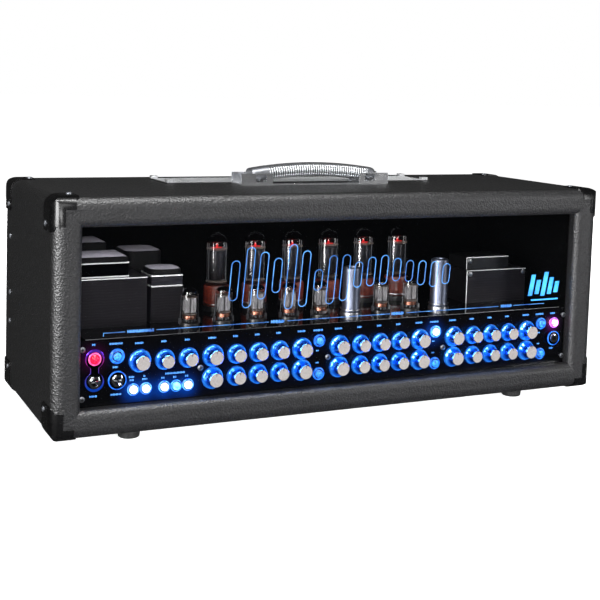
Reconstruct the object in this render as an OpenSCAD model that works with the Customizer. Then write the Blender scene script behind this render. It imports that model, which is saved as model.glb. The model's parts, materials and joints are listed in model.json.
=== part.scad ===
// Three-amp valve guitar amplifier head in a vinyl-covered wooden cabinet.
// Front faces -Y, +X is the player's right-hand side seen from the front, +Z is up.
// The origin is on the floor, under the centre of the cabinet.

/* [Cabinet] */
// Width of the cabinet
cab_w = 790; // [760:1:820]
// Depth of the cabinet, front to back
cab_d = 280; // [270:1:300]
// Height of the cabinet without its feet
cab_h = 288; // [284:1:300]
// Radius of the cabinet's outer edges
edge_r = 14; // [8:1:16]
// Thickness of the plywood boards
board_t = 18; // [15:1:20]
// Width of the padded rim at the sides and the top of the window
rim_w = 36; // [32:1:40]
// Height of the rim under the window
rim_bottom = 34; // [30:1:34]
// Radius of the rim's inner front edge
rim_round = 10; // [4:1:12]
// Height of the rubber feet
foot_h = 14; // [10:1:20]

/* [Front] */
// How far the window is set back from the front of the rim
window_recess = 16; // [15:1:17]
// Thickness of the acrylic window
window_t = 4; // [3:0.5:4]
// Height of the chassis deck above the cabinet's underside
deck_z = 115; // [112:1:116]
// Height of the upper row of knobs above the cabinet's underside
row_upper = 85.5; // [84:0.5:88]
// Height of the lower row of knobs above the cabinet's underside
row_lower = 57.3; // [56:0.1:58]
// Distance from one amp's controls to the next
amp_pitch = 177.7; // [176:0.1:178]

/* [Controls] */
// Length of a knob in front of the window
knob_l = 14.4; // [12:0.2:16]
// Radius of a knob's shaft
shaft_r = 3; // [2.5:0.1:3.2]
// Radial running clearance of a shaft in its bushing
shaft_gap = 0.05; // [0.02:0.01:0.1]
// Radius of a push button's cap
button_r = 5; // [4:0.1:5.2]
// How far a push button stands out of the window
button_l = 4.8; // [4:0.1:6]
// Angle of a toggle lever to either side of level
toggle_tilt = 13; // [8:1:14]
// Length of a toggle lever in front of its pivot
toggle_l = 13; // [10:1:15]

/* [Valves] */
// Distance between the power valves
power_pitch = 57; // [52:1:58]
// Distance between the valves of the front row
pre_pitch = 46.8; // [44:0.1:48]

/* [Handle] */
// Half the length of the handle's grip
grip_half = 95; // [80:1:110]
// How far the grip's middle arches above its ends
grip_rise = 8; // [4:1:12]
// Thickness of the grip
grip_t = 20; // [16:1:22]
// Width of the grip, front to back
grip_w = 28; // [26:1:32]
// How far the grip can rise in its brackets
grip_lift = 5; // [3:0.5:6]

/* [Hidden] */
$fn = 48;
eps = 0.01;
side_x = cab_w / 2;
half_d = cab_d / 2;
open_x = side_x - rim_w;
open_h = cab_h - rim_w - rim_bottom;
window_gap = 0.5;
wall_d = window_recess + window_t + 0.2;
sheet_t = 2;
chassis_x = 350;
chassis_bottom = 20;
chassis_back = 262;
board_d = 40;
panel_hole_r = 5.1;
button_hole_r = 5.6;
toggle_hole_r = 6.6;
protector_t = 1.6;
screw_head_r = 3.6;
screw_shank_r = 1.6;
plate_screw_in = 33;
top_screw_in = 26;
handle_d = 135;
bracket_l = 46;
bracket_w = 36;
bracket_wall = 2.5;
bracket_h = 16;
base_t = 2;
pin_r = 2.5;
grille_x = 205;
grille_d0 = 156;
grille_d1 = 232;

master_x = -188.6;
knob_step = [0, 32, 61.8, 91.6, 123.6];
knob_names = ["master", "treble", "mid", "bass", "gain"];
big_knob = [13.4, 8.8];
small_knob = [12, 7.9];
// Each knob is [node, x, height above the cabinet's underside, [base radius, cap radius]].
MASTER_KNOBS = [
    ["knob_volume", -283.5, row_upper + 0.8, big_knob],
    ["knob_presence", -251.5, row_upper, small_knob],
    ["knob_resonance", -221, row_upper, small_knob]];
AMP_KNOBS = [for (amp = [0:2]) for (row = [0:1]) for (k = [0:4])
    [str("knob_amp", amp + 1, ["_a_", "_b_"][row], knob_names[k]),
     master_x + amp * amp_pitch + knob_step[k],
     row == 0 ? row_upper : row_lower,
     (k == 0 || k == 4) ? big_knob : small_knob]];
KNOBS = concat(MASTER_KNOBS, AMP_KNOBS);

// Each button is [node, x, height, outer radius of its bezel].
small_bezel = 7.4;
big_bezel = 9.4;
button_low = 51.8;
channel_x = -40.6;
FIXED_BUTTONS = [
    ["button_midi_learn", -312.4, 94.2, big_bezel],
    ["button_noise_gate", -291.6, button_low, small_bezel],
    ["button_fx_loop", -275.6, button_low, small_bezel],
    ["button_tubes_12", -252.1, button_low, small_bezel],
    ["button_tubes_34", -236.7, button_low, small_bezel],
    ["button_tubes_56", -221.3, button_low, small_bezel],
    ["button_boost", 338.2, 94.2, small_bezel]];
CHANNEL_BUTTONS = [for (amp = [0:2]) for (row = [0:1])
    [str("button_amp", amp + 1, ["_a", "_b"][row]), channel_x + amp * amp_pitch,
     row == 0 ? 94.4 : 50.6, small_bezel + 0.9]];
BUTTONS = concat(FIXED_BUTTONS, CHANNEL_BUTTONS);

// Each toggle is [node, x, height, +1 for up at rest or -1 for down].
lamp_x = -339.8;
lamp_z = 92.8;
TOGGLES = [
    ["toggle_power", lamp_x, 64.6, 1],
    ["toggle_standby", -311.6, 64.6, -1]];
toggle_bezel_r = 11.6;
pivot_h = 1.5;

jack_x = 338.2;
jack_z = 71.6;
jack_r = 3.25;
PANEL_SCREWS = [[-354.8, 104.6], [-354.8, 44.6], [354.8, 104.6], [354.8, 44.6],
    [-205, 71.4], [-205 + amp_pitch, 71.4], [-205 + 2 * amp_pitch, 71.4]];
FEET_X = 288;
FEET_D = [42, 238];

BODY_NODES = ["cabinet", "corner_protectors", "screws", "rubber_feet", "front_window", "chassis",
    "panel_hardware", "transformers", "valves", "handle_brackets", "vent_grilles", "handle_grip"];

// A point x across, d behind the front of the rim and z above the cabinet's underside.
module place(x, d, z) { translate([x, d - half_d, foot_h + z]) children(); }

// The same for parts of the front, whose own +Z points out to the player.
module on_front(x, z, d = window_recess) { place(x, d, z) rotate([90, 0, 0]) children(); }

// The same for parts of the back, whose own +Z points away from the cabinet.
module on_back(x, z, d) { place(x, d, z) rotate([-90, 0, 0]) children(); }

module mirrored_x() { children(); mirror([1, 0, 0]) children(); }

// Rectangle from the origin with round corners.
module round_rect(w, h, r) {
    translate([r, 0]) square([w - 2 * r, h]);
    translate([0, r]) square([w, h - 2 * r]);
    for (x = [r, w - r]) for (y = [r, h - r]) translate([x, y]) circle(r);
}

// Block from the origin with all its edges rounded.
module round_block(w, d, h, r) {
    intersection() {
        linear_extrude(h) round_rect(w, d, r);
        translate([0, d, 0]) rotate([90, 0, 0]) linear_extrude(d) round_rect(w, h, r);
        rotate([90, 0, 90]) linear_extrude(w) round_rect(d, h, r);
    }
}

module ring(r_out, r_in, h) {
    difference() {
        cylinder(h = h, r = r_out);
        translate([0, 0, -eps]) cylinder(h = h + 2 * eps, r = r_in);
    }
}

// Box round the centre of its base.
module block(x, y, z) { translate([-x / 2, -y / 2, 0]) cube([x, y, z]); }

// ---------------------------------------------------------------- cabinet

// Cuts the quarter round off the inner front edge of one side of the rim, with mitred ends.
module rim_edge_cutter(len) {
    reach = len / 2 + rim_round;
    intersection() {
        translate([-reach, 0, -rim_round]) rotate([90, 0, 90]) linear_extrude(2 * reach)
            difference() {
                translate([-eps, 0]) square([rim_round + eps, rim_round + eps]);
                translate([rim_round, 0]) circle(rim_round);
            }
        translate([0, rim_round + 1, 0]) rotate([90, 0, 0]) linear_extrude(rim_round + 2)
            polygon([[eps - len / 2, eps], [len / 2 - eps, eps], [reach, -rim_round], [-reach, -rim_round]]);
    }
}

module cabinet() {
    mid_z = rim_bottom + open_h / 2;
    color("#2a2a2a") difference() {
        place(-side_x, 0, 0) round_block(cab_w, cab_d, cab_h, edge_r);
        // window opening, then the room behind it, open at the back
        place(-open_x, -1, rim_bottom) cube([2 * open_x, cab_d, open_h]);
        place(-side_x + board_t, window_recess + window_t, board_t)
            cube([cab_w - 2 * board_t, cab_d, cab_h - 2 * board_t]);
        for (turn = [0, 180]) place(0, 0, mid_z) rotate([0, turn, 0])
            translate([0, 0, -open_h / 2]) rim_edge_cutter(2 * open_x);
        for (turn = [90, 270]) place(0, 0, mid_z) rotate([0, turn, 0])
            translate([0, 0, -open_x]) rim_edge_cutter(open_h);
        // air outlet under the top grille
        place(-grille_x + 12, grille_d0 + 8, cab_h - board_t - 1)
            cube([2 * grille_x - 24, grille_d1 - grille_d0 - 16, board_t + 2]);
        at_protector_screws() translate([0, 0, -12]) cylinder(h = 13, r = screw_shank_r + 0.1);
        at_side_screws() translate([0, 0, -12]) cylinder(h = 13, r = screw_shank_r + 0.1);
    }
}

// Screws of the corner protectors: own +Z points out of the cabinet.
module at_protector_screws() {
    for (z = [plate_screw_in, cab_h - plate_screw_in]) for (d = [plate_screw_in, cab_d - plate_screw_in]) {
        mirrored_x() place(side_x, d, z) rotate([0, 90, 0]) children();
        mirrored_x() place(side_x - top_screw_in, d, z < half_d ? 0 : cab_h)
            rotate([z < half_d ? 180 : 0, 0, 0]) children();
    }
}

// Screws through the sides into the back's cleats.
module at_side_screws() {
    for (z = [97, 136, 212]) mirrored_x() place(side_x, 242, z) rotate([0, 90, 0]) children();
}

// One protector, with the cabinet's sharp corner at the origin and the cabinet towards +X +Y +Z:
// two narrow strips on the front and a wider plate on the side and on the top.
module protector() {
    leg_z = 34;
    leg_x = 27;
    strip_w = 14;
    plate_l = 44;
    out = 5;
    size = 90;
    intersection() {
        difference() {
            translate([1, 1, 1] * -protector_t) round_block(size, size, size, edge_r + protector_t);
            round_block(size, size, size, edge_r);
        }
        union() {
            translate([-out, -out, -out]) cube([strip_w + out, edge_r + out, leg_z + out]);
            translate([-out, -out, -out]) cube([leg_x + out, edge_r + out, strip_w + out]);
            translate([-out, 4, -out]) rotate([90, 0, 90]) linear_extrude(strip_w + out)
                round_rect(plate_l - 4, plate_screw_in + 8 + out, 6);
            translate([-out, 4, -out]) linear_extrude(strip_w + out)
                round_rect(top_screw_in + 6 + out, plate_l - 4, 6);
        }
    }
}

module corner_protectors() {
    color("#0b0b0b") difference() {
        for (mx = [0, 1]) for (my = [0, 1]) for (mz = [0, 1])
            translate([0, 0, foot_h + cab_h / 2]) mirror([mx, 0, 0]) mirror([0, my, 0]) mirror([0, 0, mz])
                translate([-side_x, -half_d, -cab_h / 2]) protector();
        at_protector_screws() translate([0, 0, -1]) cylinder(h = 4, r = screw_shank_r + 0.1);
    }
}

module dome_screw(len) {
    rotate_extrude() polygon([[0, -len], [screw_shank_r, -len], [screw_shank_r, 0],
        [screw_head_r, 0], [screw_head_r, 0.6], [screw_head_r - 1.4, 1.4], [0, 1.6]]);
}

module screws() {
    color("silver") {
        at_protector_screws() translate([0, 0, protector_t]) dome_screw(10);
        at_side_screws() dome_screw(10);
        for (s = PANEL_SCREWS) on_front(s[0], s[1]) dome_screw(8);
        for (x = [-1, 1]) for (d = [grille_d0 + 4, grille_d1 - 4])
            place(x * (grille_x - 4), d, cab_h + 1.5) dome_screw(1);
    }
}

module rubber_feet() {
    color("#151515") for (x = [-FEET_X, FEET_X]) for (d = FEET_D)
        place(x, d, -foot_h) rotate_extrude() polygon([[3, 5], [4.5, 5], [4.5, 0], [12.5, 0],
            [13.5, 1], [15, foot_h], [3, foot_h]]);
}

// ---------------------------------------------------------------- window and chassis

// Holes for everything that comes through the window and the chassis wall.
module control_holes() {
    for (k = KNOBS) on_front(k[1], k[2]) translate([0, 0, -10]) cylinder(h = 20, r = panel_hole_r);
    for (b = BUTTONS) on_front(b[1], b[2]) translate([0, 0, -10]) cylinder(h = 20, r = button_hole_r);
    for (t = TOGGLES) on_front(t[1], t[2]) translate([0, 0, -10]) cylinder(h = 20, r = toggle_hole_r);
    on_front(lamp_x, lamp_z) translate([0, 0, -10]) cylinder(h = 20, r = toggle_hole_r);
    on_front(jack_x, jack_z) translate([0, 0, -10]) cylinder(h = 20, r = toggle_hole_r);
    for (s = PANEL_SCREWS) on_front(s[0], s[1]) translate([0, 0, -10])
        cylinder(h = 20, r = screw_shank_r + 0.1);
}

module front_window() {
    color("#20242a", 0.4) difference() {
        place(-open_x + window_gap, window_recess, rim_bottom + window_gap)
            cube([2 * (open_x - window_gap), window_t, open_h - 2 * window_gap]);
        control_holes();
    }
}

// Five steel plates, 0.1 mm apart where they are spot welded on the real one.
module chassis() {
    depth = chassis_back - wall_d;
    height = deck_z - chassis_bottom;
    inner_d = depth - 2 * sheet_t - 0.2;
    color("#1b1b1d") difference() {
        union() {
            for (d = [wall_d, chassis_back - sheet_t])
                place(-chassis_x, d, chassis_bottom) cube([2 * chassis_x, sheet_t, height]);
            place(-chassis_x, wall_d + sheet_t + 0.1, deck_z - sheet_t) cube([2 * chassis_x, inner_d, sheet_t]);
            mirrored_x() place(-chassis_x, wall_d + sheet_t + 0.1, chassis_bottom)
                cube([sheet_t, inner_d, height - sheet_t - 0.1]);
        }
        control_holes();
        on_back(REAR_INLET[0], REAR_INLET[1], chassis_back - 5) block(28.4, 48.4, 10);
        for (x = REAR_JACKS) on_back(x, REAR_INLET[1], chassis_back - 5) cylinder(h = 10, r = toggle_hole_r);
    }
}

REAR_INLET = [-290, 67];
REAR_JACKS = [for (k = [0:5]) -120 + k * 36];

// Potentiometer behind the wall, its threaded bushing reaching through wall and window.
module potentiometer() {
    bore = shaft_r + shaft_gap;
    rotate_extrude() polygon([[bore, 0.4], [4.8, 0.4], [4.8, -6.4], [8, -6.4], [8, -16], [0, -16],
        [0, -12], [bore, -12]]);
}

// Plate behind the lamp and the power switch: two round ends and a waist.
module lamp_plate() {
    waist = 4.5;
    linear_extrude(1.2) difference() {
        union() {
            circle(toggle_bezel_r);
            translate([0, 64.6 - lamp_z]) circle(toggle_bezel_r);
            translate([-waist, 64.6 - lamp_z]) square([2 * waist, lamp_z - 64.6]);
        }
        circle(toggle_hole_r);
        translate([0, 64.6 - lamp_z]) circle(toggle_hole_r);
    }
}

module bezel(r_out, r_in) {
    rotate_extrude() polygon([[r_in, 0], [r_out, 0], [r_out, 1], [r_out - 1.4, 2.4],
        [r_in + 0.8, 2.4], [r_in, 1.6]]);
}

module jack_socket(len) {
    difference() {
        union() {
            translate([0, 0, -len]) cylinder(h = len + 3, r = 6.2);
            cylinder(h = 2, r = 9);
        }
        translate([0, 0, -len + 2]) cylinder(h = len + 2, r = jack_r);
    }
}

module panel_hardware() {
    color("#c9ccd2") {
        for (k = KNOBS) on_front(k[1], k[2]) potentiometer();
        for (b = BUTTONS) on_front(b[1], b[2]) {
            bezel(b[3], button_r + 0.3);
            translate([0, 0, window_recess - board_d]) block(12, 12, 9);
        }
        on_front(lamp_x, lamp_z) {
            lamp_plate();
            translate([0, 0, -14]) cylinder(h = 15.2 + eps, r = 6.2);
            translate([0, 0, 1.2]) rotate_extrude() polygon([[0, 0], [6.2, 0], [6.2, 1.5],
                [5, 3.6], [2.6, 4.8], [0, 5.2]]);
        }
        for (t = TOGGLES) on_front(t[1], t[2]) toggle_bushing(1.2);
        on_front(TOGGLES[1][1], TOGGLES[1][2]) ring(toggle_bezel_r, toggle_hole_r, 1.2);
        on_front(jack_x, jack_z) jack_socket(board_d - window_recess);
        on_back(REAR_INLET[0], REAR_INLET[1], chassis_back) difference() {
            translate([0, 0, -18]) block(28, 48, 20);
            translate([0, 0, -14]) block(18, 26, 18);
        }
        for (x = REAR_JACKS) on_back(x, REAR_INLET[1], chassis_back) jack_socket(24);
        // circuit board that carries the switches
        place(0, board_d + 0.8, 30) block(2 * chassis_x - 10, 1.6, 76);
    }
}

// Threaded tube of a toggle switch, with a slot each side for the lever's cross pin.
module toggle_bushing(z) {
    difference() {
        union() {
            translate([0, 0, -12]) cylinder(h = 12 + z + 2.4, r = 6.2);
            translate([0, 0, z]) cylinder(h = 2, r = 8, $fn = 6);
        }
        translate([0, 0, -10]) cylinder(h = 14 + z, r = 4.8);
    }
    // two cheeks carry the cross pin
    for (side = [-1, 1]) translate([side * 4.2, 0, pivot_h]) rotate([0, 90, 0])
        translate([0, 0, -0.6]) ring(2, 1 + shaft_gap, 1.2);
}

// ---------------------------------------------------------------- inside

module box_core(x, d, z, sx, sd, sz) { place(x, d + sd / 2, z) block(sx, sd, sz); }

module transformers() {
    color("#262628") {
        // power transformer: laminated core, banded coil and its covers
        box_core(-300, 80, deck_z, 90, 64, 62);
        box_core(-312, 86, deck_z + 62, 68, 52, 20);
        box_core(-312, 82, deck_z + 82, 66, 60, 7);
        box_core(-318, 150, deck_z, 60, 62, 98);
        // second coil behind, with its rounded top
        box_core(-236, 150, deck_z, 52, 60, 84);
        // choke with a bright band
        box_core(-225, 88, deck_z, 44, 46, 46);
        box_core(-225, 90, deck_z + 46, 42, 42, 16);
        box_core(-225, 89, deck_z + 62, 44, 44, 7);
        // output transformer
        box_core(284, 84, deck_z, 104, 62, 48);
        box_core(273, 92, deck_z + 48, 74, 46, 18);
    }
}

// Glass power valve on its brown base, standing in a socket.
module power_valve() {
    ring(19, 5, 7);
    translate([0, 0, 7]) rotate_extrude() polygon([[0, 0], [16.5, 0], [17.5, 1], [17.5, 26],
        [16.2, 28], [16.2, 84], [14.5, 92], [9, 98], [4, 99.5], [3, 101], [0, 101]]);
}

// Small valve of the front row.
module small_valve() {
    ring(13, 4, 5);
    translate([0, 0, 5]) rotate_extrude() polygon([[0, 0], [10.5, 0], [10.8, 3], [10.8, 36],
        [9, 42], [4, 44.4], [2, 47], [0, 47.5]]);
}

module shield_can(h) {
    ring(14.5, 4, 5);
    translate([0, 0, 5]) rotate_extrude() polygon([[0, 0], [13, 0], [13, 8], [12.2, 10],
        [12.2, h - 8], [11.2, h - 6], [6, h - 5], [0, h - 5]]);
}

SMALL_SLOTS = [0, 1, 2, 3, 4, 6, 7];
CAN_SLOTS = [5, 8];
first_small_x = -204;
first_power_x = -134;

module valves() {
    color("#8a5a3a") {
        for (k = [0:5]) place(first_power_x + k * power_pitch, 148, deck_z) power_valve();
        for (k = SMALL_SLOTS) place(first_small_x + k * pre_pitch, 62, deck_z) small_valve();
        for (k = CAN_SLOTS) place(first_small_x + k * pre_pitch, 62, deck_z)
            shield_can(k == 5 ? 67 : 73);
    }
}

// ---------------------------------------------------------------- handle and grilles

slot_l = 16;
pin_z = cab_h + base_t + 5;
pin_x = 84;

// Fork of two cheeks on a base strip, with a slot that lets the grip's pin rise.
module handle_bracket() {
    difference() {
        place(pin_x + 6, handle_d, cab_h) union() {
            block(bracket_l, bracket_w, base_t);
            for (side = [-1, 1]) translate([0, side * (bracket_w - bracket_wall) / 2, 0])
                block(bracket_l, bracket_wall, bracket_h);
        }
        place(pin_x, handle_d + bracket_w, pin_z) rotate([90, 0, 0]) linear_extrude(2 * bracket_w)
            translate([-slot_l / 2, -pin_r - 0.05])
                round_rect(slot_l, 2 * pin_r + grip_lift + 0.1, pin_r);
    }
}

module handle_brackets() {
    color("#d5d7da") {
        mirrored_x() handle_bracket();
        place(0, handle_d - bracket_w / 2 + 5, cab_h) block(2 * (pin_x + 6) - bracket_l - 1, 8, base_t);
    }
}

// Bowed grip: a flat-sided oval swept round a large arc, with a cross pin near each end.
module handle_grip() {
    bow_r = (grip_half * grip_half + grip_rise * grip_rise) / (2 * grip_rise);
    half_angle = asin(grip_half / bow_r);
    mid_z = cab_h + base_t + 0.5 + grip_t / 2 + grip_rise;
    color("#9a9da2") {
        place(0, handle_d, mid_z - bow_r) rotate([90, 0, 0]) bow(bow_r, half_angle);
        mirrored_x() place(pin_x, handle_d + bracket_w / 2 + 1, pin_z) rotate([90, 0, 0])
            cylinder(h = bracket_w + 2, r = pin_r);
    }
}

// The grip's arc about its own Z axis, with its middle towards +Y.
module bow(bow_r, half_angle) {
    flat = (grip_w - grip_t) / 2;
    rotate([0, 0, 90 - half_angle]) rotate_extrude(angle = 2 * half_angle, $fn = 96)
        translate([bow_r, 0]) {
            translate([-grip_t / 2, -flat]) square([grip_t, 2 * flat]);
            for (side = [-1, 1]) translate([0, side * flat]) circle(grip_t / 2);
        }
}

module slotted_sheet(w, h, t, slots, border) {
    pitch = (w - 2 * border) / slots;
    difference() {
        cube([w, h, t]);
        for (k = [0:slots - 1]) translate([border + k * pitch + pitch * 0.2, border, -1])
            cube([pitch * 0.6, h - 2 * border, t + 2]);
    }
}

module vent_grilles() {
    back_z = deck_z + 3;
    color("#b8bbc0") {
        difference() {
            place(-grille_x, grille_d0, cab_h) slotted_sheet(2 * grille_x, grille_d1 - grille_d0, 1.5, 30, 9);
            for (x = [-1, 1]) for (d = [grille_d0 + 4, grille_d1 - 4])
                place(x * (grille_x - 4), d, cab_h - 1) cylinder(h = 4, r = screw_shank_r + 0.1);
        }
        place(-side_x + board_t + 1, chassis_back, back_z) rotate([90, 0, 0])
            slotted_sheet(cab_w - 2 * board_t - 2, cab_h - board_t - 1 - back_z, 1.5, 40, 14);
    }
}

// ---------------------------------------------------------------- moving controls

// Chrome knob: shaft, wide flared skirt and a straight cap with a pointer notch.
module knob(k) {
    base_r = k[3][0];
    cap_r = k[3][1];
    flare_z = 9;
    steps = 6;
    flare = [for (s = [0:steps]) let (t = s / steps)
        [cap_r + 0.4 + (base_r - 1.2 - cap_r) * (1 - t) * (1 - t), 2.6 + t * (flare_z - 2.6)]];
    color("#dfe1e6") on_front(k[1], k[2]) difference() {
        rotate_extrude() polygon(concat([[0, -11.4], [shaft_r, -11.4], [shaft_r, 0.8], [base_r - 0.5, 0.8],
            [base_r, 1.3], [base_r, 2]], flare,
            [[cap_r, flare_z + 0.4], [cap_r, knob_l - 0.8], [cap_r - 0.8, knob_l], [0, knob_l]]));
        translate([-0.5, cap_r - 3, knob_l - 0.6]) cube([1, 4, 1]);
    }
}

module push_button(b) {
    color("#bcd8ff") on_front(b[1], b[2]) rotate_extrude() polygon([[0, -12], [button_r, -12],
        [button_r, button_l - 1.4], [button_r - 0.6, button_l - 0.5], [button_r - 2, button_l], [0, button_l]]);
}

module toggle(t) {
    color("#e6e8ec") on_front(t[1], t[2]) translate([0, 0, pivot_h]) rotate([-t[3] * toggle_tilt, 0, 0]) {
        rotate_extrude() polygon([[0, -4], [1.4, -4], [1.4, 4], [2.4, toggle_l - 2.4],
            [1.6, toggle_l - 0.6], [0, toggle_l]]);
        rotate([0, 90, 0]) translate([0, 0, -4.7]) cylinder(h = 9.4, r = 1);
    }
}

cabinet();
corner_protectors();
screws();
rubber_feet();
front_window();
chassis();
panel_hardware();
transformers();
valves();
handle_brackets();
vent_grilles();
handle_grip();
for (k = KNOBS) knob(k);
for (b = BUTTONS) push_button(b);
for (t = TOGGLES) toggle(t);
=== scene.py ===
# %% [markdown]
# # A valve guitar amplifier head
# The real thing is a plywood box covered in black vinyl, with a clear front. Behind the front stand
# two transformers and rows of glowing valves on a black steel chassis, and the chassis front carries
# the knobs, buttons and switches. The frame file already holds every part at its true size and place.
# This lesson gives each part the surface that the eye expects: some keep their shape and only get a
# material, others are replaced by finer shapes worked out with numpy.

# %% Load the frame
import json
from math import radians
import bmesh
import bpy
import numpy as np
from mathutils import Matrix

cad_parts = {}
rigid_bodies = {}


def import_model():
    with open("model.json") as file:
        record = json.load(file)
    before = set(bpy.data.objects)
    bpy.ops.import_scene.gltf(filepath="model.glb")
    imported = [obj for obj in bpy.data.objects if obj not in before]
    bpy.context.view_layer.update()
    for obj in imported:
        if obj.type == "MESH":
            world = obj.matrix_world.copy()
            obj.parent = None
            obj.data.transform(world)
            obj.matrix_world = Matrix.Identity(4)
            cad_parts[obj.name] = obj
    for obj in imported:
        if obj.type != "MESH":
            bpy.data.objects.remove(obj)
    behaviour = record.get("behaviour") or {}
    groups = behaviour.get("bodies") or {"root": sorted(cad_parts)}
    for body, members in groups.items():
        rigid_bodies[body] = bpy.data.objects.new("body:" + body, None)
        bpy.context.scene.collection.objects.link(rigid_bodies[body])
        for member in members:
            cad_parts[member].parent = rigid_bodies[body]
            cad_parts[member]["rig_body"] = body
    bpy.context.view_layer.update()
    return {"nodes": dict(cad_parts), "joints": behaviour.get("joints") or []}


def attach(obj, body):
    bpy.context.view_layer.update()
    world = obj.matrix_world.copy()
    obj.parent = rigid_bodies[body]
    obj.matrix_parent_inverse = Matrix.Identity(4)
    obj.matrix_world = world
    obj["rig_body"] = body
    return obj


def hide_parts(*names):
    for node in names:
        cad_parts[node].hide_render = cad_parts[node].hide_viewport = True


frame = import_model()
nodes = frame["nodes"]

# %% [markdown]
# Lengths below are millimetres. A place on the amplifier is given as a workshop drawing would give
# it: x across from the middle, d for depth behind the front rim, z up from the cabinet's underside.
# The frame has the floor as z = 0 and the middle of the depth as y = 0, so two shifts lead there.

# %% Places on the amplifier
HALF_DEPTH, FOOT = 140.0, 14.0
WINDOW_D = 16.0    # the clear front's outer face
INK_D = 18.4       # marks and engraving inside the clear front
DECK = 115.0       # the chassis top that the valves stand on


def upright(p, x=0.0, d=0.0, z=0.0):
    """A shape standing on its base: its own axes point right, back and up."""
    return p + np.array([x, d - HALF_DEPTH, z + FOOT])


def on_front(p, x, z, d=WINDOW_D):
    """A shape on the control panel: its own +Z points out to the player and its +Y points up."""
    return np.stack([x + p[:, 0], d - HALF_DEPTH - p[:, 2], FOOT + z + p[:, 1]], 1)


def on_back(p, x, z, d):
    """A shape on the rear wall: its own +Z points away from the cabinet."""
    return np.stack([x + p[:, 0], d - HALF_DEPTH + p[:, 2], FOOT + z - p[:, 1]], 1)


# %% [markdown]
# The eye stands left of the middle, a little above the lid, and looks slightly down. The lens is
# moved down, as a view camera's front is, which keeps the box's uprights nearly parallel.

# %% Camera
def aim(yaw, pitch, roll):
    """Right, up and back directions of a camera turned by yaw, tipped by pitch and rolled."""
    look = np.array([np.sin(yaw) * np.cos(pitch), np.cos(yaw) * np.cos(pitch), np.sin(pitch)])
    right = np.cross(look, [0.0, 0.0, 1.0])
    right /= np.linalg.norm(right)
    up = np.cross(right, look)
    c, s = np.cos(roll), np.sin(roll)
    return c * right + s * up, c * up - s * right, -look


camera_data = bpy.data.cameras.new("camera")
camera_data.lens = 67.26
camera_data.sensor_width = 36.0
camera_data.shift_x, camera_data.shift_y = 0.04, -0.20
camera_data.clip_start = 0.05
camera = bpy.data.objects.new("camera", camera_data)
eye = Matrix.Identity(4)
for column, axis in enumerate(aim(0.431345, -0.083339, 0.028121)):
    eye.col[column].xyz = axis
eye.translation = (-0.697517, -1.402998, 0.43619)
camera.matrix_world = eye
bpy.context.scene.collection.objects.link(camera)
bpy.context.scene.camera = camera
print("camera at", [round(v, 3) for v in eye.translation], "with a", camera_data.lens, "mm lens")

# %% [markdown]
# ## From formulas to meshes
# Nearly every new shape here is a grid of points: one number runs along a profile or a path, the
# other runs round it. Whole arrays are worked out at once, and the same few lines turn any such grid
# into quads. Ends that shrink to a point are merged, so poles are closed.

# %% Grids, turned shapes and boxes
def grid(p, close_u=False, close_v=False):
    """Quads between neighbours (i, j), (i+1, j), (i+1, j+1), (i, j+1) of a grid of points."""
    nu, nv = p.shape[:2]
    i, j = np.meshgrid(np.arange(nu if close_u else nu - 1),
                       np.arange(nv if close_v else nv - 1), indexing="ij")
    k, m = (i + 1) % nu, (j + 1) % nv
    return p.reshape(-1, 3), np.stack([i * nv + j, k * nv + j, k * nv + m, i * nv + m], -1).reshape(-1, 4)


def turned(profile, n=32):
    """A lathe shape: each (radius, height) pair runs round a circle, x = r cos a, y = r sin a."""
    r, h = np.array(profile, float).T
    a = np.linspace(0, 2 * np.pi, n, endpoint=False)
    return grid(np.stack([np.outer(r, np.cos(a)), np.outer(r, np.sin(a)),
                          np.outer(h, np.ones(n))], -1), close_v=True)


def blocks(*corners):
    """Boxes between pairs of corners (x0, y0, z0, x1, y1, z1), eight points each."""
    c = np.array(corners, float)
    pick = np.array([[0, 1, 2], [3, 1, 2], [3, 4, 2], [0, 4, 2], [0, 1, 5], [3, 1, 5], [3, 4, 5], [0, 4, 5]])
    sides = np.array([[0, 3, 2, 1], [4, 5, 6, 7], [0, 1, 5, 4], [1, 2, 6, 5], [2, 3, 7, 6], [3, 0, 4, 7]])
    return c[:, pick].reshape(-1, 3), (sides + 8 * np.arange(len(c))[:, None, None]).reshape(-1, 4)


def tube(path, radius, n=10, side=(0.0, 1.0, 0.0), closed=False):
    """A round wire: circles of the radius set square to the path, which never runs along `side`."""
    path = np.asarray(path, float)
    if closed:
        along = np.roll(path, -1, 0) - np.roll(path, 1, 0)
    else:
        along = np.gradient(path, axis=0)
        path = np.concatenate([path[:1], path, path[-1:]])
        along = np.concatenate([along[:1], along, along[-1:]])
    across = np.cross(np.broadcast_to(side, along.shape), along)
    across /= np.linalg.norm(across, axis=1)[:, None]
    over = np.cross(along, across)
    over /= np.linalg.norm(over, axis=1)[:, None]
    r = np.full(len(path), float(radius))
    if not closed:
        r[[0, -1]] = 0.0
    a = np.linspace(0, 2 * np.pi, n, endpoint=False)
    rim = np.cos(a)[None, :, None] * across[:, None] + np.sin(a)[None, :, None] * over[:, None]
    return grid(path[:, None] + r[:, None, None] * rim, close_u=closed, close_v=True)


def moved(shape, place, **where):
    """The same faces with their points taken to a place on the amplifier."""
    return place(shape[0], **where), shape[1]


def joined(shapes):
    """Many shapes as one: each shape's face numbers are raised by the points before it."""
    shapes = list(shapes)
    start = np.cumsum([0] + [len(s[0]) for s in shapes[:-1]])
    return (np.concatenate([s[0] for s in shapes]),
            np.concatenate([s[1] + k for s, k in zip(shapes, start)]))


# %% [markdown]
# A piece is one object made of such shapes, each with its material. It rides on one of the frame's
# bodies, and it may stand in for CAD nodes, which are then hidden. Where the CAD shape is already
# right, a copy of it only gets its edges rounded, or the node itself gets a better material.

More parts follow.
